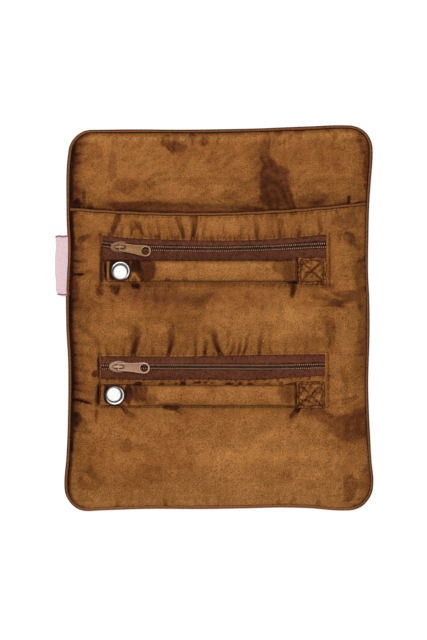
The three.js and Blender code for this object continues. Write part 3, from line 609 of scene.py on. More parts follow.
# The zips: their middle line and the edges of their windows, in mm, and how far each of those lines bows up along it
zips = {
    "upper": {
        "y": 48.215, "windowLow": 38.6, "windowHigh": 53.2, "shift": 0.0,
        "bow": {
            "windowLow": curveThrough([(-80, 0), (80, 0)]),
            "y": curveThrough([
                (-80, 2.2), (-66, 0.2), (-46, -0.9), (-26, -1.3), (-4, -1.5), (30, -0.8), (71, 1.2), (80, 1.5),
            ]),
            "windowHigh": curveThrough([
                (-80, 3.2), (-60, 1.1), (-26, -0.3), (14, -0.7), (48, 1.1), (71, 3.3), (80, 3.6),
            ]),
        },
    },
    "lower": {
        "y": -31.9, "windowLow": -40.7, "windowHigh": -25.1, "shift": -1.0,
        "bow": {
            "windowLow": curveThrough([(-80, 0.5), (-46, -0.2), (-12, 0.1), (25, -0.2), (48, 1.2), (72, 2.8), (80, 3)]),
            "y": curveThrough([(-80, -0.5), (-66, 0), (-40, -0.1), (0, -0.2), (40, -0.3), (72, 0.5), (80, 0.6)]),
            "windowHigh": curveThrough([(-80, 0.3), (-30, -0.1), (25, 1), (72, 1.6), (80, 1.7)]),
        },
    },
}
bowFade = 9.0  # the bow dies out this far beyond the window


def zipBow(x, y):
    # How far up the cloth and tape are drawn: each line's bow, shared out between the lines by height
    total = np.zeros(np.broadcast(x, y).shape)
    for z in zips.values():
        lines = [(z[name], z["bow"][name](x)) for name in ("windowLow", "y", "windowHigh")]
        before = [lines[0][0] - bowFade] + [at for at, _ in lines[:-1]]
        after = [at for at, _ in lines[1:]] + [lines[-1][0] + bowFade]
        for low, (at, bow), high in zip(before, lines, after):
            total += bow * np.clip(np.minimum((y - low) / (at - low), (high - y) / (high - at)), 0, 1)
    return total


# Folds that the cloth has been pulled into: column and row of both ends, width in mm, depth in mm, darkening, which is
# painted shade along the fold
creases = [
    # the top section
    (265, 160, 272, 208, 9, 1.6, 0.12), (272, 166, 292, 209, 6, 1.2, 0.12), (262, 134, 268, 160, 7, 0.8, 0.08),
    (286, 208, 316, 203, 6, 0.8, 0.16), (163, 134, 172, 150, 3.5, 0.7, 0.22), (176, 133, 184, 146, 3.5, 0.7, 0.22),
    (192, 131, 193, 141, 2.4, 0.5, 0.18), (206, 133, 205, 143, 2.4, 0.5, 0.18), (112, 193, 148, 184, 10, 0.8, 0.10),
    (110, 207, 260, 209, 4.5, 0.5, 0.16), (340, 203, 356, 199, 5, 0.6, 0.14), (318, 140, 326, 160, 8, 0.5, 0.06),
    (224, 150, 236, 172, 11, 0.5, 0.06), (98, 140, 92, 160, 8, 0.5, 0.06),
    # gathers between the mouth and the upper zip
    (118, 214, 113.5, 234, 3.4, 0.9, 0.42), (133, 221, 131, 235, 2.2, 0.6, 0.3),
    (135.5, 221, 143, 234, 2.2, 0.7, 0.34),
    (159, 221, 158, 237, 1.8, 0.5, 0.16), (170, 220, 171, 237, 1.8, 0.5, 0.14), (178, 217, 183, 237, 2.4, 0.8, 0.38),
    (196, 217, 192, 238, 2.8, 0.9, 0.44), (198, 228, 197.5, 237, 1.6, 0.5, 0.24),
    (206, 220, 204, 238, 1.6, 0.4, 0.16),
    (225, 226, 226, 239, 1.8, 0.4, 0.12), (242, 222, 241, 239, 1.8, 0.5, 0.16), (256, 221, 258, 239, 2.2, 0.6, 0.3),
    (282, 216, 280, 238, 2.4, 0.6, 0.26), (320, 213, 321, 234, 2.4, 0.6, 0.24), (337, 222, 350, 214, 8, 0.8, 0.18),
    (300, 217, 301, 236, 1.8, 0.4, 0.16), (150, 224, 150, 236, 1.6, 0.4, 0.14), (123, 222, 122, 234, 1.6, 0.4, 0.16),
    # the right margin
    (342, 240, 354, 244, 6, 0.8, 0.20), (352, 266, 364, 261, 6, 0.8, 0.20), (318, 298, 340, 303, 5, 1.0, 0.22),
    (340, 303, 366, 290, 5, 1.1, 0.26), (329, 320, 331, 343, 5, 0.9, 0.24), (296, 303, 328, 306, 4, 0.4, 0.10),
    (356, 330, 362, 350, 7, 0.5, 0.10), (345, 365, 347, 385, 6, 0.5, 0.10),
    # the left margin
    (90, 273, 72, 274.5, 2.6, 0.8, 0.2), (78, 243, 86, 241, 3, 0.7, 0.18), (101, 286, 101, 292, 4, 0.7, 0.26),
    (115, 286, 117, 291, 4, 0.7, 0.26), (94, 404, 72, 399, 2.8, 0.9, 0.2), (75, 423, 82, 421, 3, 0.7, 0.2),
    (99, 386, 98, 404, 3, 0.8, 0.22), (84, 262, 72, 260, 2, 0.4, 0.2),
    (80, 268, 72, 267, 1.8, 0.4, 0.2), (82, 250, 72, 247, 2.4, 0.4, 0.16), (84, 310, 72, 308, 4, 0.4, 0.14),
    (82, 302, 72, 300, 3, 0.4, 0.14), (86, 326, 73, 322, 4, 0.4, 0.12), (84, 345, 72, 340, 3, 0.4, 0.14),
    (86, 372, 72, 368, 3, 0.4, 0.18), (84, 385, 72, 381, 3, 0.4, 0.18), (86, 392, 74, 390, 2, 0.4, 0.2),
    (78, 300, 96, 304, 5, 0.5, 0.10), (76, 330, 88, 336, 5, 0.4, 0.08),
    # under the upper bar
    (292, 283, 293, 294, 3.6, 1.1, 0.44), (118, 292, 200, 298, 14, 0.8, 0.14), (133, 281, 138, 287, 3, 0.8, 0.3),
    (196, 306, 210, 297, 5, 0.4, 0.10), (320, 285, 332, 287, 4, 0.5, 0.14),
    # gathers above the lower zip
    (97, 340, 99, 354, 2, 0.5, 0.2), (107, 344, 107, 355, 1.8, 0.6, 0.28), (116, 346, 116, 355, 1.6, 0.4, 0.14),
    (124, 345, 124, 355, 1.6, 0.4, 0.18), (135.5, 330, 134.5, 355, 5, 1.1, 0.5), (153, 346, 152, 355, 1.6, 0.4, 0.16),
    (172, 332, 168, 355, 3.4, 0.9, 0.42), (181, 346, 181, 355, 1.6, 0.4, 0.14), (187, 345, 187, 355, 1.6, 0.4, 0.18),
    (196, 338, 195.5, 355, 2, 0.6, 0.3), (205.5, 342, 205.5, 355, 2.4, 0.8, 0.5),
    (213, 332, 220.5, 355, 3.4, 1, 0.54),
    (229, 336, 227, 348, 2.2, 0.5, 0.26), (235, 341, 231, 354, 2.2, 0.6, 0.34),
    (240.5, 339, 238, 354, 2.2, 0.6, 0.34),
    (247.5, 339, 244, 354, 2.2, 0.7, 0.4), (252, 346, 251, 354, 1.6, 0.4, 0.18), (263, 329, 259, 354, 3, 0.6, 0.28),
    (271, 345, 270, 354, 1.8, 0.4, 0.16), (285, 345, 285, 354, 1.8, 0.4, 0.16), (306, 344, 306, 354, 1.8, 0.4, 0.14),
    # below the lower bar
    (291, 419, 299.5, 408, 4, 1, 0.4), (134, 418, 124, 408, 3, 0.8, 0.28), (166, 405, 180, 410, 5, 0.7, 0.22),
    (304, 411, 330, 420, 8, 0.7, 0.06), (322, 418, 352, 432, 12, 0.8, 0.04), (340, 424, 362, 414, 8, 0.7, 0.06),
    (330, 406, 353, 398.5, 3, 0.7, 0.18), (90, 434, 73, 430, 3, 0.5, 0.14),
    (345, 470, 350, 490, 6, 0.7, 0.18), (112, 442, 134, 449, 9, 0.5, 0.10), (150, 472, 172, 480, 9, 0.5, 0.10),
    (88, 466, 94, 480, 6, 0.6, 0.12), (178, 464, 192, 472, 7, 0.4, 0.08), (232, 440, 262, 432, 14, 0.5, 0.07),
    (116, 497, 116, 507, 3, 0.7, 0.22), (164, 496, 165, 506, 3, 0.7, 0.22), (278, 496, 278, 505, 2.6, 0.6, 0.18),
    (293, 496, 292, 505, 3, 0.7, 0.22), (218, 500, 219, 507, 2.2, 0.4, 0.12), (340, 498, 352, 505, 5, 0.6, 0.14),
]
# Parts of the cloth that are turned from the light, with a fairly sharp edge: column, row, reach across and up in
# pixels, slant in degrees, darkening
blots = [
    # the top section
    (270, 171, 9.5, 14, 0, 0.24), (270, 192, 10.5, 16, 0, 0.25), (279, 183, 11, 18, 0, 0.24),
    (282, 198, 12, 9, 0, 0.23),
    (267.5, 141, 3.6, 9, 0, 0.19), (265, 157, 4, 8, 0, 0.16), (165, 139, 4, 6, 30, 0.22), (175, 146, 9, 6, 20, 0.24),
    (192, 135, 4, 3, 0, 0.22), (204, 140, 5, 5, 30, 0.20), (279, 133, 4, 4, 0, 0.15), (299, 134, 4.5, 7, 0, 0.17),
    (99, 151, 4, 8, 0, 0.11), (112, 166, 4, 14, 0, 0.13), (126, 185, 11, 8, 0, 0.16), (213, 162, 6, 11, 0, 0.10),
    (190, 153, 16, 6, 10, 0.07), (228, 195, 10, 5, 0, 0.11), (338, 168, 6, 5, 30, 0.12), (332, 149, 12, 3, 10, 0.08),
    (316, 195, 13, 6, 25, 0.12),
    (301, 198, 6, 9, -10, 0.13),
    (328.5, 133, 3, 3.4, 0, 0.12), (345, 133, 2, 3, 0, 0.1), (362, 142, 7, 12, 0, 0.22), (365, 166, 5, 20, 0, 0.22),
    (245, 205, 26, 3, 0, 0.08), (154, 207, 47, 5.4, 2, 0.22), (188, 210, 60, 2.5, 2, 0.16),
    (348.5, 200, 1.8, 4.5, 0, 0.44),
    (85, 199, 1.8, 10, 0, 0.2), (79, 203, 4, 5, 0, 0.3), (91, 207, 3, 4, 0, 0.24),
    # the strip between the mouth and the upper zip
    (117, 219, 3, 5, 10, 0.26), (180, 223, 2, 5, 0, 0.14), (195, 224, 2.4, 6, 0, 0.18), (257, 229, 2, 7, 0, 0.16),
    (280, 224, 3, 6, 0, 0.2), (344, 221, 12, 8, 0, 0.16), (320, 222, 2, 8, 0, 0.16), (138, 226, 3, 5, 30, 0.14),
    # beside and under the lower zip
    (135, 338, 5.5, 5, 0, 0.18), (171.5, 338, 3.2, 5, 10, 0.22), (208, 330, 7, 4, 20, 0.1), (262, 335, 3, 6, 0, 0.12),
    (98.6, 367, 1.2, 11, 0, 0.42), (95.5, 373.5, 4, 4.5, 0, 0.34), (138.5, 383.5, 4, 2, 0, 0.4),
    (162, 383.5, 3, 1.5, 0, 0.36), (176, 383.5, 2, 1.2, 0, 0.3), (183, 383.5, 2.6, 1.8, 0, 0.4),
    (197, 382.5, 5, 1.2, 0, 0.36),
    (205, 382.5, 2, 1.2, 0, 0.36), (212, 383, 2, 1, 0, 0.3), (229, 383.5, 4, 1.5, 0, 0.36),
    (240, 383, 3, 1.4, 0, 0.36),
    (250, 384, 3, 1.8, 0, 0.36), (268, 384, 3, 1.4, 0, 0.3), (281, 384, 2, 1.4, 0, 0.3),
    # the right margin
    (346, 223, 7, 9, 0, 0.15), (338, 214, 4, 5, 0, 0.12), (350, 241, 7, 6, 0, 0.17), (361, 284, 5, 36, 0, 0.2),
    (355, 270, 3, 5, 0, 0.14), (350, 294, 15, 4, 0, 0.22), (330, 327, 5, 13, 0, 0.15), (341, 302, 18, 2.6, -12, 0.2),
    (350, 400, 10, 3, -20, 0.2), (362, 330, 5, 26, 0, 0.18),
    (362, 358, 7, 20, 0, 0.08),
    # the left margin
    (78.5, 274.3, 6.5, 1.5, 4, 0.6), (83, 401.5, 10, 1.5, 15, 0.62), (76, 420, 6, 8, 0, 0.32),
    (82, 424, 7, 5, 30, 0.16),
    (96.5, 416, 1.8, 7, 0, 0.22), (106.2, 271.5, 1.7, 10.5, -3, 0.6), (102.2, 266, 2.4, 17, 0, 0.26),
    (98, 396, 1.3, 10, 0, 0.5), (101, 391, 1, 6, 0, 0.2), (82, 242, 5, 3, 0, 0.2), (99, 292, 3, 4, 0, 0.2),
    (115, 291, 4, 3, 0, 0.24), (135, 286, 4, 3, 0, 0.34),
    # below the lower bar
    (347, 428, 21, 13, 10, 0.18), (359, 422, 9, 14, 0, 0.17), (322, 416, 14, 6, 25, 0.2), (307, 413, 5, 4, 20, 0.15),
    (171, 407.5, 8, 3, 0, 0.34),
    (296.5, 410.5, 3, 2.5, 0, 0.42), (293.5, 413.5, 6.5, 2.6, -48, 0.34), (126, 446, 6, 7, 0, 0.16),
    (92, 478, 12, 11, 0, 0.13),
    (154, 475, 10, 9, 0, 0.12), (288, 475, 6, 6, 0, 0.1), (312, 487, 6, 4, 0, 0.11), (348, 487, 6, 14, 0, 0.26),
    (363, 487, 8, 20, 0, 0.19), (118, 504, 3, 4, 0, 0.2), (165, 503, 2.4, 4, 0, 0.2), (279, 504, 2, 3, 0, 0.22),
    (294, 501, 2.4, 4, 0, 0.22), (318, 504, 2.4, 3, 0, 0.2), (345, 501, 3, 4, 0, 0.16),
]
# How far the band of painted shade inside the seam reaches, in mm, at heights up the left and the right side
sideBand = {
    "left": curveThrough([
        (-124, 0.9), (-104, 1.0), (-82, 1.4), (-70, 4.2), (-55, 5.2), (-30, 3.2), (-12, 3.4), (6, 2.6), (12, 4.6),
        (28, 4.6), (40, 4), (52, 2.2), (62, 1.6), (68, 1.8), (75, 4.8), (100, 4.8), (118, 5.4), (124, 3),
    ]),
    "right": curveThrough([
        (-124, 1.2), (-104, 3), (-75, 4), (-36, 6.5), (-16, 6.5), (0, 4.2), (18, 5.2), (30, 7.5), (50, 6.5), (72, 6),
        (100, 6.5), (118, 8), (124, 4),
    ]),
}
# Broad parts that catch more light: column, row, reach across and up in mm, how much
lit = [
    (112, 158, 24, 20, 0.05), (205, 176, 30, 16, 0.05), (318, 178, 20, 22, 0.05), (250, 320, 44, 13, 0.10),
    (292, 328, 20, 10, 0.05), (215, 455, 95, 34, 0.07), (140, 335, 30, 16, 0.03), (96, 320, 14, 22, 0.03),
    (262, 462, 46, 26, 0.05), (120, 424, 20, 12, 0.04),
    (226, 226, 18, 6, 0.04), (225, 222, 88, 9, 0.05), (300, 468, 22, 24, 0.03), (345, 335, 10, 20, 0.03),
    (362, 200, 8, 60, -0.05),
    (362, 380, 7, 90, -0.05), (76, 260, 6, 120, -0.04), (160, 300, 44, 9, -0.07), (350, 430, 14, 20, -0.08),
    (280, 186, 22, 24, -0.05), (115, 283.3, 7, 0.7, 0.2), (345, 401.5, 7, 1.6, 0.12),
    (338, 411.5, 5, 1.6, 0.1), (337, 256, 4, 16, 0.05), (350, 266, 6, 12, 0.05), (150, 460, 40, 24, -0.03),
    (210, 130, 90, 4, -0.04),
]


def creaseField(x, y, folds=creases):
    # Depth and painted shade of all the listed folds: each is a soft valley along a line that fades at both ends,
    # with a low ridge beside it, painted a little lighter as highlight
    depth, dark = np.zeros(x.shape), np.zeros(x.shape)
    for column0, row0, column1, row1, width, deep, darken in folds:
        x0, y0 = fromPhoto(column0, row0)
        x1, y1 = fromPhoto(column1, row1)
        length = math.hypot(x1 - x0, y1 - y0)
        ux, uy = (x1 - x0) / length, (y1 - y0) / length
        near = (x > min(x0, x1) - 3 * width) & (x < max(x0, x1) + 3 * width)
        near &= (y > min(y0, y1) - 3 * width) & (y < max(y0, y1) + 3 * width)
        px, py = x[near] - x0, y[near] - y0
        along = px * ux + py * uy
        bend = 0.18 * width * np.sin(along / max(length, 1) * 4 + column0)
        across = (-px * uy + py * ux + bend) / (width / 2) / (1.35 - 0.7 * np.clip(along / length, 0, 1))
        past = np.maximum(np.maximum(-along, along - length), 0) / (width * 0.8)
        fade = bell(past) * (0.45 + 0.55 * smoothStep(along / length + 0.15))
        valley = bell(across) - 0.4 * np.exp(-((np.abs(across) - 1.7) ** 2) / 0.6)
        depth[near] += deep * valley * fade
        beside = np.exp(-((np.abs(across) - 1.8) ** 2) / 0.5)
        dark[near] += 0.9 * darken * (np.exp(-(across**2) * 1.1) - 0.22 * beside) * fade
    return depth, dark


def blotField(x, y, spots=blots):
    # Darkening of all the blots: each is full inside a wavering ellipse and fades out over its rim
    dark = np.zeros(x.shape)
    ripple = 0.10 * waves(x, y, 11, 61) + 0.05 * waves(x, y, 4, 62)
    for column, row, across, up, slant, darken in spots:
        cx, cy = fromPhoto(column, row)
        across, up = across * photo["mmPerPixel"], up * photo["mmPerPixel"]
        near = np.maximum(np.abs(x - cx), np.abs(y - cy)) < 1.8 * max(across, up)
        c, s = math.cos(math.radians(-slant)), math.sin(math.radians(-slant))
        px, py = x[near] - cx, y[near] - cy
        size = np.hypot((px * c + py * s) / across, (py * c - px * s) / up) + ripple[near]
        dark[near] = np.maximum(dark[near], darken * smoothStep((1.2 - size) / 0.36))
    return dark


def seamShade(x, y, distance):
    # The cloth dips into the seam: a dark line, strong at the left and nearly none at the foot, and the slopes that
    # face right and down are a little lighter, as the photograph's even light shows them
    half, bottom = layout["halfWidth"], layout["bottom"]
    foot = smoothStep((bottom + 14 - y) / 8) * smoothStep((half - 6 - np.abs(x)) / 8)
    head = smoothStep((y - layout["top"] + 14) / 8) * smoothStep((half - 6 - np.abs(x)) / 8)
    right = smoothStep((x - half + 14) / 8)
    line = 0.34 * (1 - 0.9 * foot) * (1 - 0.6 * right) * (1 - 0.5 * head) * np.exp(-distance / 0.6)
    lift = 0.13 * smoothStep(1 - (half - x) / 26) + 0.13 * smoothStep(1 - (y - bottom) / 28)
    return lift - line + 0.2 * head * bell((distance - 2.6) / 2.6)


def litField(x, y, spots=lit):
    # Brightening of all the lit parts: a soft oval each
    light = np.zeros(x.shape)
    for column, row, reachX, reachY, amount in spots:
        cx, cy = fromPhoto(column, row)
        light += 1.6 * amount * np.exp(-(((x - cx) / reachX) ** 2) - (((y - cy) / reachY) ** 2))
    return light


def bandField(x, y, distance):
    # Painted shade along the left and right seams: full beside the seam, out to where the band reaches
    ripple = 1 + 0.14 * waves(x, y, 9, 63) + 0.06 * waves(x, y, 3, 64)
    left = smoothStep(1.5 - distance / (sideBand["left"](y) * ripple)) * (x < 0)
    right = smoothStep(1.5 - distance / (sideBand["right"](y) * ripple)) * (x > 0)
    upright = smoothStep((np.abs(x) - layout["halfWidth"] + 20) / 8) * smoothStep((122 - np.abs(y)) / 8)
    core = bell(distance / 1.7) * (x < 0) * (0.45 + 0.55 * smoothStep((y + 94) / 14))
    return (0.2 * left + 0.26 * core + 0.06 * right) * upright


def gathers(x, y, line, side, spacing, length, depth, seed):
    # Short puckers that run off a stitched line: random spacing, depth, length and slant; side is 1 above, -1 below
    rng = np.random.default_rng(seed)
    low, high = layout["windowLeft"] - 3, layout["windowRight"] + 3
    places = low + np.cumsum(rng.uniform(0.55, 1.45, int((high - low) / spacing)) * spacing)
    out = np.zeros(x.shape)
    away = (y - line) * side
    near = (away > -1.0) & (away < 3 * length)
    px, pa = x[near], away[near]
    field = np.zeros(px.shape)
    for at, size, reach, slant, wide in zip(
        places, rng.uniform(0.3, 1, len(places)) ** 1.5, rng.uniform(0.5, 1.3, len(places)) * length,
        rng.uniform(-0.25, 0.25, len(places)), rng.uniform(0.55, 1.0, len(places)),
    ):
        field += size * bell((px - at - slant * pa) / wide) * np.exp(-np.maximum(pa, 0) / reach)
    out[near] = depth * field
    return out


def edgePuckers(x, y, distance, seed):
    # Little folds square to the seam that die out inwards: noise along the side times a fade with distance
    rng = np.random.default_rng(seed)
    half = layout["halfWidth"]
    upright = np.abs(x) > half - 14
    along = np.where(upright, y, x + 400)
    total = np.zeros(x.shape)
    for wave, phase, share in zip(rng.uniform(3, 11, 12), rng.uniform(0, 6.28, 12), rng.uniform(0.4, 1, 12)):
        total += share * np.sin(2 * np.pi * along / wave + phase + 0.03 * distance * wave)
    ridged = np.maximum(total / 2.2, 0) ** 1.3
    return ridged * np.exp(-distance / 4.5) * smoothStep(distance / 2.5)


frontHeights = {"seam": 2.0, "flat": 7.4, "mouth": 5.6, "lowest": 1.75}


def frontSurface(x, y):
    # The front panel's height and shade at sewn places x, y
    distance = np.maximum(seamDistance(x, y), 0)
    z = frontHeights["seam"] + (frontHeights["flat"] - frontHeights["seam"]) * crownShare(distance, layout["crownRun"])
    toMouth = mouthAt(x) - y
    lip = frontHeights["mouth"] + (frontHeights["flat"] - frontHeights["mouth"]) * smoothStep(toMouth / 13)
    z = np.minimum(z, lip)
    inside = smoothStep((distance - 4) / 14)
    # puffed between the seams
    between = smoothStep((20 - y) / 10) * smoothStep((y + 20) / 10)
    # less over the stretch that folds onto the lower bar
    below = smoothStep((-62 - y) / 12) * smoothStep((y + 118) / 14) * (0.3 + 0.7 * smoothStep((-88 - y) / 10))
    z = z + inside * (1.1 * between + 1.3 * below)
    free = np.maximum(between, below)
    margin = np.maximum(smoothStep((x - 76) / 6), smoothStep((-82 - x) / 6))
    loose = np.maximum(free, 0.6 * margin)
    z = z + inside * loose * (0.42 * waves(x, y, 46, 3) + 0.22 * waves(x, y, 20, 4))
    z = z + (0.08 + 0.10 * loose) * waves(x, y, 8, 5, stretch=0.7) * smoothStep(distance / 6)
    depth, dark = creaseField(x, y)
    # painted shade in the folds, the blots and the band inside the seam
    shade = 0.5 - np.maximum(dark, blotField(x, y)) - bandField(x, y, distance)
    pucker = np.zeros(x.shape)
    for name, seed, depth1, depth2 in (("upper", 11, 0.8, 0.3), ("lower", 12, 0.6, 0.9)):
        z0 = zips[name]
        pucker += gathers(x, y, z0["windowHigh"] + 0.6, 1, 2.4, 3.0, depth1, seed)
        pucker += gathers(x, y, z0["windowLow"] - 0.4, -1, 3.2, 1.8, depth2, seed + 4)
    pucker += gathers(x, y, zips["upper"]["windowHigh"] + 0.6, 1, 6, 7.5, 0.45, 41)
    pucker += gathers(x, y, mouthAt(x) - 1.5, -1, 4, 2.0, 0.4, 42)
    pucker += gathers(x, y, zips["upper"]["y"] - 25.5, -1, 4.5, 2.4, 0.35, 31)
    pucker += gathers(x, y, zips["lower"]["y"] - 27.1, -1, 4.5, 2.4, 0.35, 32)
    ripples = edgePuckers(x, y, distance, 21)
    z = z - depth - pucker - 0.7 * ripples
    mouthRipple = np.sin(x * 1.9 + 2 * np.sin(x * 0.31)) + 0.6 * np.sin(x * 0.83 + 1)
    lipFade = np.exp(-np.maximum(toMouth, 0) / 3.0)
    z = np.maximum(z + 0.12 * mouthRipple * lipFade, frontHeights["lowest"])
    # stitched lines press the cloth down
    dashes = 0.75 + 0.25 * np.sin(y * 2.6)
    for z0 in zips.values():
        beside = np.abs(x - z0["shift"] + 2.7) < 76
        hem = bell((y - z0["windowHigh"] - 0.6) / 0.45) * beside
        shade = shade + 0.17 * hem * (0.65 + 0.35 * np.sin(x * 3.9))
        z = z - 0.18 * bell((y - z0["windowHigh"] - 1.1) / 0.6) * beside
        foot = z0["windowHigh"] - 31.5
        for edge in (layout["windowLeft"] + z0["shift"] - 1.0, layout["windowRight"] + z0["shift"] + 2.2):
            inRows = smoothStep((z0["windowHigh"] + 3 - y) / 2) * smoothStep((y - foot + 1) / 2)
            z = z - 0.35 * bell((x - edge) / 0.8) * inRows
            shade = shade - 0.30 * bell((x - edge) / 0.75) * inRows * dashes
        z = z - 0.25 * bell((y - foot) / 0.7) * beside
        shade = shade - 0.10 * bell((y - foot) / 0.8) * beside
    shade = shade + litField(x, y)
    # painted shade in the puckers and in the little folds along the seam
    shade = shade - 0.42 * pucker - 0.10 * ripples + seamShade(x, y, distance)
    shade = shade + 0.035 * waves(x, y, 34, 7) + 0.025 * waves(x, y, 13, 8) + 0.025 * waves(x, y, 5, 9)
    # painted shade and light following the mouth's ripples
    shade = shade + 0.02 * mouthRipple * lipFade
    return z, shade


def liningSurface(x, y):
    # The top section's inner face: padded and crowned, and flat where it runs in under the mouth
    distance = np.maximum(seamDistance(x, y), 0)
    # lower over the outer part, which folds onto the rolled-up lower panel
    outer = smoothStep((y - 86) / 12)
    z = 1.2 + (2.7 - 0.4 * outer) * crownShare(distance, layout["crownRun"])
    above = y - mouthAt(x)
    inside = smoothStep((distance - 3) / 12) * smoothStep((above - 1) / 12)
    puff = 1 - 0.95 * outer
    z = z + inside * puff * (2.0 + 0.45 * waves(x, y, 40, 43) + 0.25 * waves(x, y, 18, 44))
    z = z + 0.10 * waves(x, y, 8, 45) * inside
    depth, dark = creaseField(x, y)
    shown = smoothStep((above + 2) / 3)
    ripples = edgePuckers(x, y, distance, 22)
    z = np.maximum(z - (depth + 0.7 * ripples) * shown, frontHeights["lowest"] - 0.1)
    # painted shade in the folds, the blots and the band inside the seam
    shade = 0.5 - np.maximum(dark, blotField(x, y)) - bandField(x, y, distance)
    shade = shade + litField(x, y)
    # a painted shadow on the lining just above the mouth's edge
    shade = shade - 0.10 * ripples + seamShade(x, y, distance) - 0.36 * np.exp(-np.maximum(above - 2.1, 0) / 1.1)
    shade = shade + 0.035 * waves(x, y, 32, 47) + 0.025 * waves(x, y, 13, 48) + 0.025 * waves(x, y, 5, 49)
    return z, shade


def slopeStrength(x, y):
    # How far a slope darkens the cloth: less, and then the other way, in the last 13 mm to the seam
    return 0.30 - 0.75 * smoothStep(1 - seamDistance(x, y) / 13)


def slopeShade(grid, shade, strength):
    # Steep cloth turns away from the light, so it darkens
    normal = gridNormals(grid)
    return np.clip(shade - strength * (1 - np.clip(normal[..., 2], 0, 1)), 0.02, 1)


step = 0.75


def spacedThrough(stops, step):
    # Stations from the first stop to the last, about a step apart, that hit every stop
    runs = [np.linspace(a, b, max(2, round(abs(b - a) / step) + 1))[:-1] for a, b in zip(stops[:-1], stops[1:])]
    return np.concatenate(runs + [[stops[-1]]])


def makeFront():
    # Rows from the bottom seam to the mouth, columns from seam to seam; the windows are left open
    half, arc, bottom = layout["halfWidth"], layout["arc"], layout["bottom"]
    turn = bottom + arc * (1 - np.cos(np.linspace(0, np.pi / 2, 16)))
    stops = [bottom + arc, zips["lower"]["windowLow"], layout["splitLower"], zips["lower"]["windowHigh"],
             zips["upper"]["windowLow"], zips["upper"]["windowHigh"], mouth["middle"]]
    v = np.concatenate([turn[:-1], spacedThrough(stops, step)])
    u = spacedThrough([-half, layout["windowLeft"], layout["windowRight"], half], step)
    gridU, gridV = np.meshgrid(u, v)
    lift = (mouthAt(gridU) - mouth["middle"]) * smoothStep((gridV - 54) / (mouth["middle"] - 54))
    shift = layout["lowerShift"] * smoothStep((16 - gridV) / 32) * smoothStep((half - np.abs(gridU)) / 15)
    x = gridU * halfWidthAt(gridV) / half + shift
    x, y = underPiping(x, gridV + lift)
    y = y + zipBow(x, y) * smoothStep((half - np.abs(gridU)) / 12)
    z, shade = frontSurface(x, gridV + lift)
    wx, wy = wander(x, y)
    top = np.stack([wx, wy, z], -1)
    bottomFace = top - np.array([0, 0, 0.45])
    normal = gridNormals(top)
    shade = slopeShade(top, shade, slopeStrength(x, gridV + lift))
    keep = np.ones((len(v) - 1, len(u) - 1), bool)
    vm, um = (v[1:] + v[:-1]) / 2, (u[1:] + u[:-1]) / 2
    across = (um > layout["windowLeft"]) & (um < layout["windowRight"])
    for z0 in zips.values():
        along = (vm > z0["windowLow"]) & (vm < z0["windowHigh"])
        keep &= ~(along[:, None] & across[None])
    split = int(np.argmin(np.abs(v - layout["splitLower"])))
    made = {}
    for name, rows in (("frontCloth", slice(split, len(v))), ("frontClothBelow", slice(0, split + 1))):
        faces = slice(rows.start, rows.stop - 1)
        points, polygons, used = closedSheet(top[rows], bottomFace[rows], keep[faces])
        normals = np.concatenate([normal[rows], -normal[rows]]).reshape(-1, 3)[used]
        shades = np.concatenate([shade[rows].ravel(), shade[rows].ravel()])[used]
        made[name] = makePiece(name, points, polygons, satin, fields={"shade": shades}, normals=normals)
    return made


def makeFlatLayer(name, low, high, corner, topAt, bottomAt, material, spacing, shadeAt=None, inset=0.0, normals=True):
    # One layer of a section between two heights up the roll, from its upper and lower surface functions
    half = layout["halfWidth"]
    v = rowStations(low, high, spacing, corner)
    u = np.linspace(-half, half, round(2 * half / spacing))
    gridU, gridV = np.meshgrid(u, v)
    share = (half - inset) / half
    x = gridU * halfWidthAt(gridV) / half * share
    x, y = (x, gridV) if inset else underPiping(x, gridV)
    wx, wy = wander(x, y)
    top = np.stack([wx, wy, topAt(x, y)], -1)
    base = np.stack([wx, wy, bottomAt(x, y)], -1)
    points, polygons, used = closedSheet(top, base)
    shade = np.full(x.shape, 0.5) if shadeAt is None else shadeAt(x, y)
    sloped = slopeShade(top, shade, slopeStrength(x, y))
    both = np.concatenate([sloped.ravel(), shade.ravel()])[used]
    custom = np.concatenate([gridNormals(top).reshape(-1, 3), -gridNormals(base).reshape(-1, 3)])[used]
    return makePiece(name, points, polygons, material, fields={"shade": both}, normals=custom if normals else None)


front = makeFront()
topLining = makeFlatLayer(
    "topLining", 60.0, layout["top"], "top", lambda x, y: liningSurface(x, y)[0],
    lambda x, y: liningSurface(x, y)[0] - 0.4, satin, step, lambda x, y: liningSurface(x, y)[1],
)
print("scene: front cloth made")


# Edge piping and the mouth's piping
edgePiping = {"radius": 1.32, "offset": 2.03, "height": 1.5, "sides": 14, "step": 0.8}


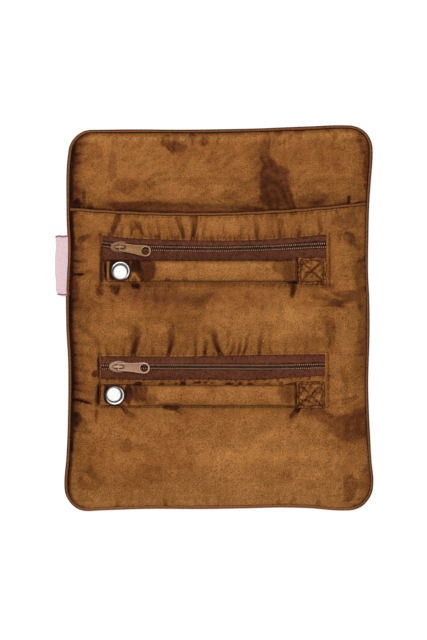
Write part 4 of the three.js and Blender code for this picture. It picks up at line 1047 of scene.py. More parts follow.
def outlinePath(height):
    # The piping's middle line, once round the roll from the middle of the left side, clockwise seen from above
    half, arc = layout["halfWidth"] + edgePiping["offset"], layout["arc"] + edgePiping["offset"]
    top, bottom = layout["top"] + edgePiping["offset"], layout["bottom"] - edgePiping["offset"]
    step = edgePiping["step"]

    def side(a, b):
        count = max(2, round(math.dist(a, b) / step))
        t = np.linspace(0, 1, count, endpoint=False)[:, None]
        return np.array(a) + t * (np.array(b) - np.array(a))

    def corner(cx, cy, start):
        angle = np.linspace(start, start - np.pi / 2, 28, endpoint=False)
        return np.stack([cx + arc * np.cos(angle), cy + arc * np.sin(angle)], -1)

    split0, split1 = layout["splitUpper"], layout["splitLower"]
    runs = {
        "topEdgePiping": [
            side((-half, split0), (-half, top - arc)), corner(-half + arc, top - arc, np.pi),
            side((-half + arc, top), (half - arc, top)), corner(half - arc, top - arc, np.pi / 2),
            side((half, top - arc), (half, split0)), [(half, split0)],
        ],
        "rightEdgePiping": [side((half, split0), (half, split1)), [(half, split1)]],
        "bottomEdgePiping": [
            side((half, split1), (half, bottom + arc)), corner(half - arc, bottom + arc, 0),
            side((half - arc, bottom), (-half + arc, bottom)), corner(-half + arc, bottom + arc, -np.pi / 2),
            side((-half, bottom + arc), (-half, split1)), [(-half, split1)],
        ],
        "leftEdgePiping": [side((-half, split1), (-half, split0)), [(-half, split0)]],
    }
    made = {}
    for name, parts in runs.items():
        xy = np.concatenate([np.array(p, float).reshape(-1, 2) for p in parts])
        x, y = wander(xy[:, 0], xy[:, 1])
        made[name] = np.stack([x, y, np.full(len(x), height)], -1)
    return made


def pipingRadius(path, radius, sides, seed):
    # Cloth on the bias twists round the cord: slanting low ridges, deeper at random places, painted a little lighter on
    # the ridges and darker between them as light and shade
    rng = np.random.default_rng(seed)
    along = np.concatenate([[0], np.cumsum(np.linalg.norm(np.diff(path, axis=0), axis=1))])
    turn = roundTurn(sides)
    phase = along[:, None] * 2.1 + turn[None] + 1.5 * np.sin(along[:, None] * 0.23 + rng.uniform(0, 6))
    ridge = np.sin(phase) * (0.4 + 0.6 * np.abs(np.sin(along[:, None] * 0.37 + rng.uniform(0, 6))))
    slow = 0.05 * np.sin(along[:, None] * 0.11 + rng.uniform(0, 6))
    return radius * (1 + 0.012 * ridge + slow), 0.5 + 0.035 * ridge


def makePiping(name, path, radius, sides, seed, darkest=0.7, middle=0.1):
    # Painted shade at its sides and a painted highlight along its crest, but evenly light along the foot of the roll
    radii, shade = pipingRadius(path, radius, sides, seed)
    foot = (smoothStep((layout["bottom"] + 12 - path[:, 1]) / 8) * smoothStep((96 - np.abs(path[:, 0])) / 10))[:, None]
    darkest, middle = darkest * (1 - 0.65 * foot), middle + 0.04 * foot
    tangent = np.gradient(path, axis=0)
    tangent /= np.linalg.norm(tangent, axis=1, keepdims=True)
    side = np.cross(tangent, [0, 0, 1.0])
    side /= np.linalg.norm(side, axis=1, keepdims=True)
    up = np.cross(side, tangent)
    turn = roundTurn(sides)
    ring = radii[..., None] * (np.cos(turn)[None, :, None] * side[:, None] + np.sin(turn)[None, :, None] * up[:, None])
    points, faces = loftFaces(path[:, None] + ring)
    power = 1.7 - 0.45 * smoothStep((path[:, 0] + 90) / 10)[:, None]
    shade = shade + middle - darkest * np.abs(np.cos(turn))[None] ** power
    return makePiece(name, points, faces, pipingSatin, fields={"shade": np.clip(shade, 0.02, 1).ravel()})


edgePipings = {
    name: makePiping(name, path, edgePiping["radius"], edgePiping["sides"], 60 + i)
    for i, (name, path) in enumerate(outlinePath(edgePiping["height"]).items())
}
mouthX = np.arange(-layout["halfWidth"] - 0.5, layout["halfWidth"] + 0.6, 0.8)
drop = 5.55 - 3.3 * (1 - crownShare(layout["halfWidth"] - np.abs(np.clip(mouthX, -97.6, 97.6)), 12))
mouthWanderX, mouthWanderY = wander(mouthX, mouthAt(mouthX))
mouthPath = np.stack([mouthWanderX, mouthWanderY + 0.9 + 0.12 * np.sin(mouthX * 0.4), drop], -1)
mouthPiping = makePiping("mouthPiping", mouthPath, mouth["radius"], 14, 71, darkest=0.45)
print("scene: piping made")


# Hidden layers and the back: thickness of the outer cloth and of the lining, and the wadding's underside
layers = {"cover": 0.45, "lining": 0.4, "padFloor": 1.3}


def seamInside(x, y):
    # Distance in from the seam, and 0 outside it
    return np.maximum(seamDistance(x, y), 0)


def backShade(x, y):
    # The hidden layers' shade: two soft noises, darker towards the seam
    return 0.5 + 0.04 * waves(x, y, 34, 91) + 0.03 * waves(x, y, 12, 92) - 0.12 * np.exp(-seamInside(x, y) / 3)


def coverUnder(x, y):
    # The back lies on the table and turns up to the piping at the seam
    return 0.8 * (1 - crownShare(seamInside(x, y), 7))


def coverOver(x, y):
    # The outer cloth's upper face, one thickness above its lower one
    return coverUnder(x, y) + layers["cover"]


def padUnder(x, y):
    # The wadding's underside is flat, a little clear of the outer cloth
    return np.full(x.shape, layers["padFloor"])


def padOver(x, y):
    # The wadding fills what the upper face leaves it, less towards the seam
    room = np.where(y > mouthAt(x), liningSurface(x, y)[0] - 1.7, 3.2)
    return 1.35 + np.clip(room - 1.35, 0.1, 6) * crownShare(seamInside(x, y) - 3, 10)


def liningUnder(x, y):
    # The lining rises from the seam and runs above the wadding
    return 1.0 + 2.5 * crownShare(seamInside(x, y), layout["crownRun"])


def liningOver(x, y):
    # The lining's upper face, one thickness above its lower one
    return liningUnder(x, y) + layers["lining"]


sections = {
    "Top": (layout["splitUpper"], layout["top"], "top"),
    "Middle": (layout["splitLower"], layout["splitUpper"], None),
    "Bottom": (layout["bottom"], layout["splitLower"], "bottom"),
}
covers, pads = {}, {}
for section, (low, high, corner) in sections.items():
    covers[section] = makeFlatLayer("cover" + section, low, high, corner, coverOver, coverUnder, satin, 1.4, backShade)
    pads[section] = makeFlatLayer(
        "wadding" + section, low, high, corner, padOver, padUnder, wadding, 2.4, inset=3.0, normals=False
    )
liningMiddle = makeFlatLayer("liningMiddle", layout["splitLower"], 59.6, None, liningOver, liningUnder, satin, 2.0)
liningBottom = makeFlatLayer(
    "liningBottom", layout["bottom"], layout["splitLower"], "bottom", liningOver, liningUnder, satin, 2.0
)
print("scene: back, wadding and linings made")


def makeBag(name, left, right, foot, head):
    # A flat pocket under a zip: two leaves of thin satin, a little slack, closed round the rim
    gridU, gridV = np.meshgrid(np.linspace(left, right, 110), np.linspace(foot, head, 44))
    rim = np.minimum(np.minimum(gridU - left, right - gridU), np.minimum(gridV - foot, head - gridV))
    slackShare = smoothStep(rim / 6)
    slack = 0.12 * waves(gridU, gridV, 25, 51) * slackShare
    top = np.stack([gridU, gridV, 4.75 + 1.1 * slackShare + slack], -1)
    base = np.stack([gridU, gridV, 4.45 - 0.15 * slackShare + 0.5 * slack], -1)
    points, polygons, used = closedSheet(top, base)
    return makePiece(name, points, polygons, bagSatin)


bags = {
    "upper": makeBag("upperPocketBag", layout["windowLeft"] - 3.2, layout["windowRight"] + 3.2, 1.0, 52.6),
    "lower": makeBag("lowerPocketBag", layout["windowLeft"] - 4.2, layout["windowRight"] + 2.2, -63.0, -27.4),
}


# Zips: tape, teeth, slider and pull
zipSizes = {
    "pitch": 1.3, "toothInner": 0.62, "toothOuter": 1.6, "toothRadius": 0.27, "toothHeight": 6.85,
    "tapeTop": 6.6, "tapeThickness": 0.4, "tapeHem": 2.3, "tapeInner": 0.12,
}


def onZip(x, y):
    # A sewn place beside a zip as it lies on the roll
    return x, y + zipBow(x, y)


def makeTape(name, z0, side):
    # One half of a zip's woven tape, from under the window's hem in to the teeth
    sizes = zipSizes
    shift = z0["shift"]
    left, right = layout["windowLeft"] + shift - sizes["tapeHem"], layout["windowRight"] + shift + sizes["tapeHem"]
    outer = (z0["windowHigh"] if side > 0 else z0["windowLow"]) + side * sizes["tapeHem"]
    inner = z0["y"] + side * sizes["tapeInner"]
    v = np.linspace(min(inner, outer), max(inner, outer), 22)
    gridU, gridV = np.meshgrid(np.arange(left, right + 0.3, 0.75), v)
    x, y = onZip(gridU, gridV)
    away = np.abs(gridV - z0["y"])
    ridge = 0.22 * bell((away - 2.4) / 0.7)
    top = np.stack([x, y, sizes["tapeTop"] - 0.12 + 0.07 * waves(x, y, 30, 55) + ridge], -1)
    base = top - np.array([0, 0, sizes["tapeThickness"] - 0.1])
    points, polygons, used = closedSheet(top, base)
    # a painted shadow along the window's edge, painted shade beside the teeth and along the middle, a lighter line
    # outside the ridge, and the half below a little darker
    edge = np.exp(-np.abs(away - np.abs((z0["windowHigh"] if side > 0 else z0["windowLow"]) - z0["y"])) / 0.9)
    besideTeeth = np.exp(-(((away - 1.2) / 1.15) ** 6))
    shade = 0.5 - 0.26 * edge + 0.08 * bell((away - 2.6) / 0.6) - 0.42 * besideTeeth - 0.12 * bell(away / 0.5)
    shade = shade - (0.07 if side < 0 else 0.0)
    shade = shade + 0.05 * waves(x, y, 22, 56)
    return makePiece(name, points, polygons, tapeWeave, fields={"shade": np.concatenate([shade.ravel()] * 2)[used]})


def makeTeeth(name, z0, side):
    # One row of the coil: rounded loops that reach from near the middle line to the tape, half a pitch apart per row
    sizes = zipSizes
    left, right = layout["windowLeft"] + z0["shift"] - 1.5, layout["windowRight"] + z0["shift"] + 1.5
    x = np.arange(left + (0.5 if side > 0 else 0) * sizes["pitch"], right, sizes["pitch"])
    inner, outer = sizes["toothInner"], sizes["toothOuter"]
    _, y = onZip(x, np.full(x.shape, z0["y"]))
    height = np.full(x.shape, sizes["toothHeight"])
    starts = np.stack([x - 0.1, y + side * inner, height - 0.12], -1)
    ends = np.stack([x + 0.1, y + side * outer, height], -1)
    points, faces = capsules(starts, ends, sizes["toothRadius"], sides=8)
    middle = np.interp(points[:, 0], x, y)
    # a painted highlight on the loops' outer ends and painted shade towards the middle line
    shade = 0.15 + 0.8 * smoothStep((np.abs(points[:, 1] - middle) - 0.7) / 0.4)
    return makePiece(name, points, faces, toothNylon, fields={"shade": shade})


def makePlate(name, outlines, low, high, bevel, material):
    # A flat plate from closed outlines, with rounded edges: the first outline is outside, the others are holes
    curve = bpy.data.curves.new(name, "CURVE")
    curve.dimensions = "2D"
    curve.fill_mode = "BOTH"
    for outline in outlines:
        spline = curve.splines.new("POLY")
        spline.points.add(len(outline) - 1)
        flat = np.concatenate([np.asarray(outline) * mm, np.zeros((len(outline), 1)), np.ones((len(outline), 1))], 1)
        spline.points.foreach_set("co", flat.ravel())
        spline.use_cyclic_u = True
    curve.offset = -bevel * mm
    curve.extrude = ((high - low) / 2 - bevel) * mm
    curve.bevel_depth = bevel * mm
    curve.bevel_resolution = 3
    temporary = bpy.data.objects.new(name, curve)
    mesh = bpy.data.meshes.new_from_object(temporary)
    bpy.data.objects.remove(temporary)
    bpy.data.curves.remove(curve)
    points = np.empty(len(mesh.vertices) * 3)
    mesh.vertices.foreach_get("co", points)
    points = points.reshape(-1, 3)
    points[:, 2] += (low + high) / 2 * mm
    mesh.vertices.foreach_set("co", points.ravel())
    mesh.materials.clear()
    mesh.materials.append(material)
    mesh.polygons.foreach_set("use_smooth", np.ones(len(mesh.polygons), bool))
    mesh.name = name
    return mesh


def finishPlate(name, meshes, place, turn):
    # Plates welded into closed bodies, turned about the upright axis and moved to their place, all in the mesh
    materials = []
    joinedMesh = bmesh.new()
    for mesh in meshes:
        material = mesh.materials[0]
        if material not in materials:
            materials.append(material)
        before = len(joinedMesh.faces)
        joinedMesh.from_mesh(mesh)
        joinedMesh.faces.ensure_lookup_table()
        for face in joinedMesh.faces[before:]:
            face.material_index = materials.index(material)
    bmesh.ops.remove_doubles(joinedMesh, verts=joinedMesh.verts, dist=0.000002)
    bmesh.ops.recalc_face_normals(joinedMesh, faces=joinedMesh.faces)
    mesh = meshes[0]
    mesh.materials.clear()
    for material in materials:
        mesh.materials.append(material)
    joinedMesh.to_mesh(mesh)
    joinedMesh.free()
    points = np.empty(len(mesh.vertices) * 3)
    mesh.vertices.foreach_get("co", points)
    points = points.reshape(-1, 3)
    c, s = math.cos(turn), math.sin(turn)
    x, y = points[:, 0] * c - points[:, 1] * s, points[:, 0] * s + points[:, 1] * c
    points = np.stack([x + place[0] * mm, y + place[1] * mm, points[:, 2]], -1)
    mesh.vertices.foreach_set("co", points.ravel())
    mesh.update()
    piece = bpy.data.objects.new(name, mesh)
    bpy.context.scene.collection.objects.link(piece)
    return piece


def meshOf(name, points, faces, material):
    # A mesh that is to be welded into a piece, with no object of its own
    piece = makePiece(name, points, faces, material)
    mesh = piece.data
    bpy.data.objects.remove(piece)
    return mesh


sliderSizes = {
    "wingLow": 7.25, "wingTop": 8.05, "underLow": 4.9, "underTop": 5.5, "bossLength": 3.9, "bossWidth": 1.75,
    "crownHalf": 3.3, "crownTop": 9.75, "crownWidth": 1.3,
}
sliders = {
    "upper": {"x": -66.2, "y": 48.215, "yaw": -9.0},
    "lower": {"x": -67.2, "y": -31.9, "yaw": -3.0},
}


def sliderOutline(grow=0.0):
    # A pear seen from above: a pointed nose at the left, broad shoulders, and a round heel at the right
    half = curveThrough(
        [(-6.1, 0), (-5.8, 1.2), (-4.6, 2.4), (-2.2, 3.4), (0.4, 3.85), (2.6, 3.6), (4.2, 2.6), (4.9, 0)]
    )
    angle = roundTurn(72)
    x = -0.6 + 5.5 * np.cos(angle)
    return np.stack([x, np.sign(np.sin(angle)) * half(x)], -1) * (1 + grow)


def makeSlider(name, at, material, bright, shadow):
    # A slider: an upper and a lower plate, the post between them, a boss and the crown that holds the pull; the boss is
    # in the dark copy of the metal as painted shade and the crown in the bright copy as painted highlight
    sizes = sliderSizes
    upper = makePlate("plateUpper", [sliderOutline()], sizes["wingLow"], sizes["wingTop"], 0.28, material)
    under = makePlate("plateUnder", [sliderOutline(-0.02)], sizes["underLow"], sizes["underTop"], 0.2, material)
    turn = roundTurn(48)
    ring = np.stack([np.cos(turn) * sizes["bossLength"], np.sin(turn) * sizes["bossWidth"]], -1)
    boss = makePlate("boss", [ring], sizes["wingTop"] - 0.2, sizes["wingTop"] + 0.16, 0.1, shadow)
    post = makePlate(
        "post", [np.array([[-4.2, -0.55], [-1.6, -0.12], [-1.6, 0.12], [-4.2, 0.55]])],
        sizes["underTop"] - 0.1, sizes["wingLow"] + 0.1, 0.04, material,
    )
    t = np.linspace(0, np.pi, 26)
    path = np.stack([
        -np.cos(t) * sizes["crownHalf"], 0 * t,
        sizes["wingTop"] - 0.2 + (sizes["crownTop"] - sizes["wingTop"] + 0.2) * np.sin(t) ** 0.75,
    ], -1)
    angle = roundTurn(16)
    halfAcross, halfUp = sizes["crownWidth"] / 2 * (0.8 + 0.45 * np.sin(t)), 0.34
    tangent = np.gradient(path, axis=0)
    tangent /= np.linalg.norm(tangent, axis=1, keepdims=True)
    outward = np.stack([-tangent[:, 2], 0 * t, tangent[:, 0]], -1)
    across = signedPower(np.cos(angle), 0.7)
    rise = signedPower(np.sin(angle), 0.7)
    rings = path[:, None] + halfUp * rise[None, :, None] * outward[:, None]
    rings = rings + (halfAcross[:, None] * across[None])[..., None] * np.array([0, 1.0, 0])
    crown = meshOf("crown", *loftFaces(rings), bright)
    return finishPlate(name, [upper, under, boss, post, crown], (at["x"], at["y"]), 0.0)


pullSizes = {
    "reach": 21.5, "endRadius": 3.95, "hole": 2.75, "waist": 3.1, "arm": 2.7, "low": 8.38, "high": 9.22,
    "slotHalf": 1.5, "slotStart": 0.45, "slotEnd": 4.5, "back": 0.45, "rimWidth": 0.5, "rimHeight": 0.14, "edge": 0.3,
}


def pullOutline(inset=0.0):
    # From the crossbar the tab widens a little to its waist and swells to its round end
    s = pullSizes
    centre, radius = s["reach"] - s["endRadius"], s["endRadius"] - inset
    t = np.linspace(0, 1, 24)
    x = inset - s["back"] + t * (centre + s["back"] - inset)
    narrowing = (s["waist"] - s["arm"]) * smoothStep(t / 0.28)
    y = s["arm"] + narrowing + (s["endRadius"] - s["waist"]) * smoothStep((t - 0.45) / 0.55)
    a = np.linspace(np.pi / 2, -np.pi / 2, 40)[1:-1]
    end = np.stack([centre + radius * np.cos(a), radius * np.sin(a)], -1)
    upper, lower = np.stack([x, y - inset], -1), np.stack([x, inset - y], -1)[::-1]
    return np.concatenate([upper, end, lower])[::-1]


def ovalOutline(cx, cy, rx, ry, power=1.0, count=40):
    # An oval, or one with squarer sides where the power is below 1
    angle = roundTurn(count)
    c, s = np.cos(angle), np.sin(angle)
    return np.stack([cx + rx * signedPower(c, power), cy + ry * signedPower(s, power)], -1)


def makePull(name, at, material, bright, shadow):
    # A plate with a slot and a hole, and a raised rim along its edge and round the hole; the core plate, whose edge
    # shows round the outline, is in the dark copy of the metal as a painted shadow line, and the rim and the ring are
    # in the bright copy as painted highlight
    s = pullSizes
    centre = s["reach"] - s["endRadius"]
    slot = ovalOutline((s["slotStart"] + s["slotEnd"]) / 2, 0, (s["slotEnd"] - s["slotStart"]) / 2, s["slotHalf"], 0.5)
    hole = ovalOutline(centre, 0, s["hole"], s["hole"])
    edge = s["edge"]
    plates = [
        makePlate(name, [pullOutline(), slot, hole], s["low"] + 0.12, s["high"] - 2 * s["rimHeight"], 0.15, shadow),
        makePlate("back", [pullOutline(edge), slot, hole], s["low"], s["low"] + 0.4, 0.1, material),
        makePlate(
            "face", [pullOutline(edge), slot, hole], s["high"] - 3 * s["rimHeight"], s["high"] - s["rimHeight"],
            0.1, material,
        ),
        makePlate(
            "rim", [pullOutline(edge), pullOutline(edge + s["rimWidth"])[::-1]], s["high"] - 2 * s["rimHeight"],
            s["high"], 0.1, bright,
        ),
        makePlate("ring", [ovalOutline(centre, 0, s["hole"] + s["rimWidth"], s["hole"] + s["rimWidth"]), hole[::-1]],
                  s["high"] - 2 * s["rimHeight"], s["high"], 0.1, bright),
    ]
    return finishPlate(name, plates, (at["x"], at["y"]), math.radians(at["yaw"]))


zipPieces = {}
for name, z0 in zips.items():
    metal = zipMetals[name]
    zipPieces[name] = {
        "tapeAbove": makeTape(name + "TapeAbove", z0, 1), "tapeBelow": makeTape(name + "TapeBelow", z0, -1),
        "teethAbove": makeTeeth(name + "TeethAbove", z0, 1), "teethBelow": makeTeeth(name + "TeethBelow", z0, -1),
        "slider": makeSlider(name + "Slider", sliders[name], metal, highlightMetals[name], shadowMetals[name]),
        "pull": makePull(name + "Pull", sliders[name], pullMetals[name], highlightMetals[name], shadowMetals[name]),
    }
print("scene: zips made")


# Ring bars, with a flat tab at the left that the snap holds, and the end sewn down under a stitched patch
bars = {
    "upper": {"y": 32.05, "tabLeft": -74.7, "hinge": 52.6, "snapX": -65.5, "patchLeft": 52.9, "patchRight": 72.3,
              "seed": 81, "lean": (-0.05, -0.85), "rimLight": 50},
    "lower": {"y": -50.94, "tabLeft": -78.4, "hinge": 51.6, "snapX": -69.2, "patchLeft": 51.9, "patchRight": 71.3,
              "seed": 82, "lean": (-0.6, 0.6), "rimLight": -50},
}
barSizes = {
    "tabLength": 15.4, "neck": 16.8, "bend": 9.6, "halfWide": 6.95, "tabHalf": 7.35, "endHalf": 8.7,
    "low": 7.72, "top": 14.4, "tabLow": 10.7, "tabTop": 11.5, "endTop": 9.2, "sides": 64,
}


# Folds in the bar covers: column and row of both ends, width in mm, depth in mm, darkening, which is painted shade
# along the fold
barFolds = [
    (134, 284, 150, 262, 4, 0.7, 0.10), (139, 262, 131, 283, 3, 0.6, 0.16), (152, 264, 154, 280, 3, 0.5, 0.10),
    (168, 275, 167, 283, 3, 0.3, 0.16), (184, 276, 185, 283, 4, 0.3, 0.14), (273, 261, 292, 283, 3, 0.4, 0.10),
    (130, 384, 146, 402, 4, 0.7, 0.14), (148, 384, 138, 398, 4, 0.6, 0.12), (152, 388, 158, 402, 4, 0.4, 0.08),
    (283, 384, 288, 402, 3, 0.4, 0.10),
]
# Parts of the bar covers painted darker as shade: column, row, reach across and up in pixels, slant in degrees,
# darkening
barBlots = [
    (136, 266, 5.5, 7, 0, 0.56), (141.5, 275, 3, 8, -10, 0.52), (146, 270, 10, 12, -5, 0.40),
    (130, 271, 2, 12, 0, 0.3),
    (134.5, 280, 3, 4, 0, 0.34),
    (112, 271, 3, 10, 0, 0.3), (121, 261, 12, 2.4, 0, 0.36), (285, 268, 13, 9, 28, 0.2), (291, 277, 8, 8, 40, 0.2),
    (297, 272, 2.4, 13, 0, 0.4), (168, 281, 3, 3, 0, 0.26), (185, 280, 3, 2.6, 0, 0.22), (294, 283, 4, 3, 0, 0.4),
    (129, 394, 4, 11, 0, 0.46), (139, 393, 9, 10, 0, 0.34), (137, 384, 6, 2.4, 0, 0.4), (150, 398, 7, 6, 0, 0.2),
    (107, 393, 3, 10, 0, 0.26), (115, 383, 12, 2.2, 0, 0.3), (287, 392, 9, 11, 20, 0.18), (296, 393, 2.4, 12, 0, 0.4),
    (160, 384, 3, 2, 0, 0.2), (182, 384, 4, 2, 0, 0.22), (236, 384, 4, 2, 0, 0.2), (170, 404, 12, 1.6, 0, 0.2),
]
# Painted highlights along the edges of the wedge that the cloth folds into at the upper bar's neck
barRidges = [(128.3, 283.5, 135.3, 273, 1.0, 0, 0.34), (139.2, 282, 135.3, 273, 0.9, 0, 0.3)]
# Parts of the bar covers painted lighter as light: column, row, reach across and up in mm, how much
barLit = [
    (116, 282.5, 7, 1.1, 0.16), (108.5, 272, 0.9, 6, 0.08), (110, 403, 7, 1.1, 0.10), (102, 395, 0.9, 6, 0.06),
    (200, 268, 18, 3, 0.03), (240, 272, 14, 4, 0.02), (190, 396, 16, 3, 0.03), (250, 394, 14, 4, 0.02),
]


def barProfile(bar, x):
    # Half width, underside and top of a bar along its length
    s = barSizes
    fromTab = x - bar["tabLeft"]
    swell = smoothStep((fromTab - s["tabLength"]) / s["neck"])
    flatten = smoothStep((x - (bar["hinge"] - s["bend"])) / s["bend"])
    rounded = np.sqrt(np.clip(fromTab / 1.6, 0, 1))
    half = s["tabHalf"] + (s["halfWide"] - s["tabHalf"]) * swell + (s["endHalf"] - s["halfWide"]) * flatten
    half = half * (0.9 + 0.1 * rounded)
    low = s["tabLow"] + (s["low"] - s["tabLow"]) * swell
    top = s["tabTop"] + (s["top"] - s["tabTop"]) * swell + (s["endTop"] - s["top"]) * flatten
    return half, low, top


def makeBar(name, bar, shrink=0.0, material=None, start=0.0, stop=0.35):
    # Rounded sections along the bar's length, from the tab's tip to the hinge; shrink gives the filling inside it
    s = barSizes
    x = np.arange(bar["tabLeft"] + 0.02 + start, bar["hinge"] + stop, 0.5)
    half, low, top = barProfile(bar, x)
    angle = roundTurn(s["sides"])
    thick = (top - low)[:, None]
    squareness = 0.5 + 0.14 * smoothStep((thick - 1) / 4)  # a flat tab has square edges, a padded bar round ones
    c, sn = np.cos(angle)[None], np.sin(angle)[None]
    across = signedPower(c, squareness)
    up = signedPower(sn, squareness)
    gridX = np.repeat(x[:, None], s["sides"], 1)
    rng = np.random.default_rng(bar["seed"])
    fromTab = gridX - bar["tabLeft"]
    neck = bell((fromTab - s["tabLength"] - 6.5) / 7.5)
    bend = bell((gridX - bar["hinge"] + 4) / 6)
    gridY = (half[:, None] - shrink) * across
    full = smoothStep((thick - 1.5) / 3)
    pucker = waves(gridX, gridY * 0.7 + gridX * 0.35, 7.5, bar["seed"], count=10)
    ripple = (0.10 + 0.55 * neck + 0.22 * bend) * pucker * full
    ripple += 0.10 * full * waves(gridX, gridY, 16, bar["seed"] + 5)
    gridZ = ((low + top) / 2)[:, None] + (thick / 2 - shrink + ripple * (up > 0)) * up
    tuck = 0.35 * np.sin(gridX * 1.1 + 2 * np.sin(gridX * 0.27)) * np.abs(across) ** 3 * full * (0.4 + neck)
    gridY = bar["y"] + gridY + tuck * np.sign(across)
    rings = np.stack([gridX, gridY, gridZ], -1)
    points, faces = loftFaces(rings)
    local = (gridY - bar["y"]) / s["halfWide"]
    # painted light and shade on the cover: random tone, darker edges, a darker tab, a painted shadow round the snap
    # cap, painted shade in the folds and blots, and painted highlights on the wedge's ridges and the lit parts
    shade = 0.60 + 0.05 * waves(gridX, gridY, 14, bar["seed"] + 2) - 0.05 * np.abs(local) ** 6
    shade = shade - 0.16 * smoothStep((s["tabLength"] + 1 - fromTab) / 2)
    cap = np.hypot(gridX - bar["snapX"], gridY - bar["y"])
    shade = shade - 0.38 * bell(np.maximum(cap - 6.0, 0) / 1.5) * (fromTab < s["tabLength"] + 2)
    depth, dark = creaseField(gridX, gridY, barFolds)
    ridge = creaseField(gridX, gridY, barRidges)[1]
    darker = np.maximum(blotField(gridX, gridY, barBlots), dark)
    shade = shade - darker + litField(gridX, gridY, barLit) + np.maximum(ridge, 0)
    shade = shade - 0.22 * smoothStep((np.abs(local) - 0.93) / 0.07)
    return makePiece(name, points, faces, material or satin, fields={"shade": np.clip(shade, 0.02, 1).ravel()})


patchSizes = {"top": 8.6, "low": 7.62, "half": 9.1, "inset": 1.8}


def makePatch(name, bar):
    # The sewn end: a cloth square, quilted by a box of stitches and two diagonals
    s = patchSizes
    left, right = bar["patchLeft"], bar["patchRight"]
    gridU, gridV = np.meshgrid(np.linspace(left, right, 64), np.linspace(-s["half"], s["half"], 60))
    across, up = (gridU - left) / (right - left) * 2 - 1, gridV / s["half"]
    rim = np.minimum(np.minimum(gridU - left, right - gridU), s["half"] - np.abs(gridV))
    dome = 1 - np.exp(-rim / 0.7)
    box = np.abs(np.minimum(np.minimum(gridU - left, right - gridU), s["half"] - np.abs(gridV)) - s["inset"])
    scale = (right - left) / 2
    crossed = np.minimum(np.abs(across - up), np.abs(across + up)) * scale * 0.7
    crossed = np.where(rim < s["inset"], 9, crossed)
    pinch = bell(np.minimum(box, crossed) / 0.6)
    z = s["low"] + (s["top"] - s["low"]) * dome - 0.42 * pinch * dome + 0.12 * waves(gridU, gridV, 7, bar["seed"] + 7)
    top = np.stack([gridU + 0.25 * np.sin(gridV * 0.7), bar["y"] + gridV + 0.25 * np.sin(gridU * 0.6), z], -1)
    base = np.stack([top[..., 0], top[..., 1], np.full(z.shape, s["low"] - 0.25)], -1)
    points, polygons, used = closedSheet(top, base)
    cloudy, grainy = waves(gridU, gridV, 6, bar["seed"] + 8), waves(gridU, gridV, 2.4, bar["seed"] + 9)
    # painted shade along the stitched pinches, with random tone
    shade = 0.42 - 0.15 * pinch + 0.10 * cloudy + 0.12 * grainy
    shade = slopeShade(top, shade, 0.5)
    return makePiece(name, points, polygons, satin, fields={"shade": np.concatenate([shade.ravel()] * 2)[used]})


# A snap's cap, from the middle outwards: radius, height and brightness, a painted reflection that is dark in the groove
# as painted shade, of a low dome, a groove and a rolled rim
capProfile = [
    (0.0, 14.02, 1), (1.5, 14.0, 1), (2.8, 13.92, 1), (3.6, 13.78, 1), (4.2, 13.5, 1), (4.5, 13.2, 0.8),
    (4.65, 12.75, 0.1),
    (4.9, 12.5, 0), (5.35, 12.6, 0.15), (5.6, 12.72, 0.85), (5.85, 12.7, 0.9), (6.12, 12.5, 0.7), (6.25, 12.2, 0.2),
    (6.2, 11.98, 0), (6.0, 11.84, 0), (5.0, 11.82, 0), (0.0, 11.82, 0),
]


def makeCap(name, bar):
    # The dome leans a little to one side, so the groove is wider at the other and painted darker there as shade; the
    # rim's painted reflection is bright on the side that rimLight points to and dark on the other
    radius, height, bright = np.array(capProfile)[1:-1].T
    turn = roundTurn(72)
    leanX, leanY = bar["lean"]
    offset = np.clip(5.5 - radius, 0, 1) * (height > 12.3)
    rings = np.stack([
        bar["snapX"] + leanX * offset[:, None] + radius[:, None] * np.cos(turn),
        bar["y"] + leanY * offset[:, None] + radius[:, None] * np.sin(turn), np.repeat(height[:, None], len(turn), 1),
    ], -1)
    toLean = (np.cos(turn) * leanX + np.sin(turn) * leanY) / math.hypot(leanX, leanY)
    side = np.cos(turn - math.radians(bar["rimLight"]))
    outer = smoothStep((radius - 5.3) / 0.2)[:, None]
    turned = outer * bright[:, None] * (0.08 + 0.92 * smoothStep((side + 0.45) / 0.6))
    tone = bright[:, None] * (1 - outer) * np.ones(len(turn)) + turned
    tone = np.clip(tone + 0.5 * (1 - outer) * (1 - bright[:, None]) * smoothStep(toLean), 0, 1)
    points, faces = loftFaces(rings)
    return makePiece(name, points, faces, capChrome, fields={"shade": tone.ravel()})


barPieces = {
    name: {
        "cover": makeBar(name + "BarCover", bar), "patch": makePatch(name + "BarPatch", bar),
        "filling": makeBar(name + "BarFilling", bar, 0.75, wadding, start=20.0, stop=-9.5),
        "cap": makeCap(name + "SnapCap", bar),
    }
    for name, bar in bars.items()
}
for pair in barPieces.values():
    bevel = pair["cap"].modifiers.new("smooth", "SUBSURF")
    bevel.levels = bevel.render_levels = 1
print("scene: ring bars made")


# The bare ribbon label at the left: a loop of ribbon, folded at its outer edge and caught in the seam
labelSizes = {"outer": -109.6, "inner": -98.6, "low": 15.7, "high": 56.1, "thickness": 0.9, "height": 1.7}


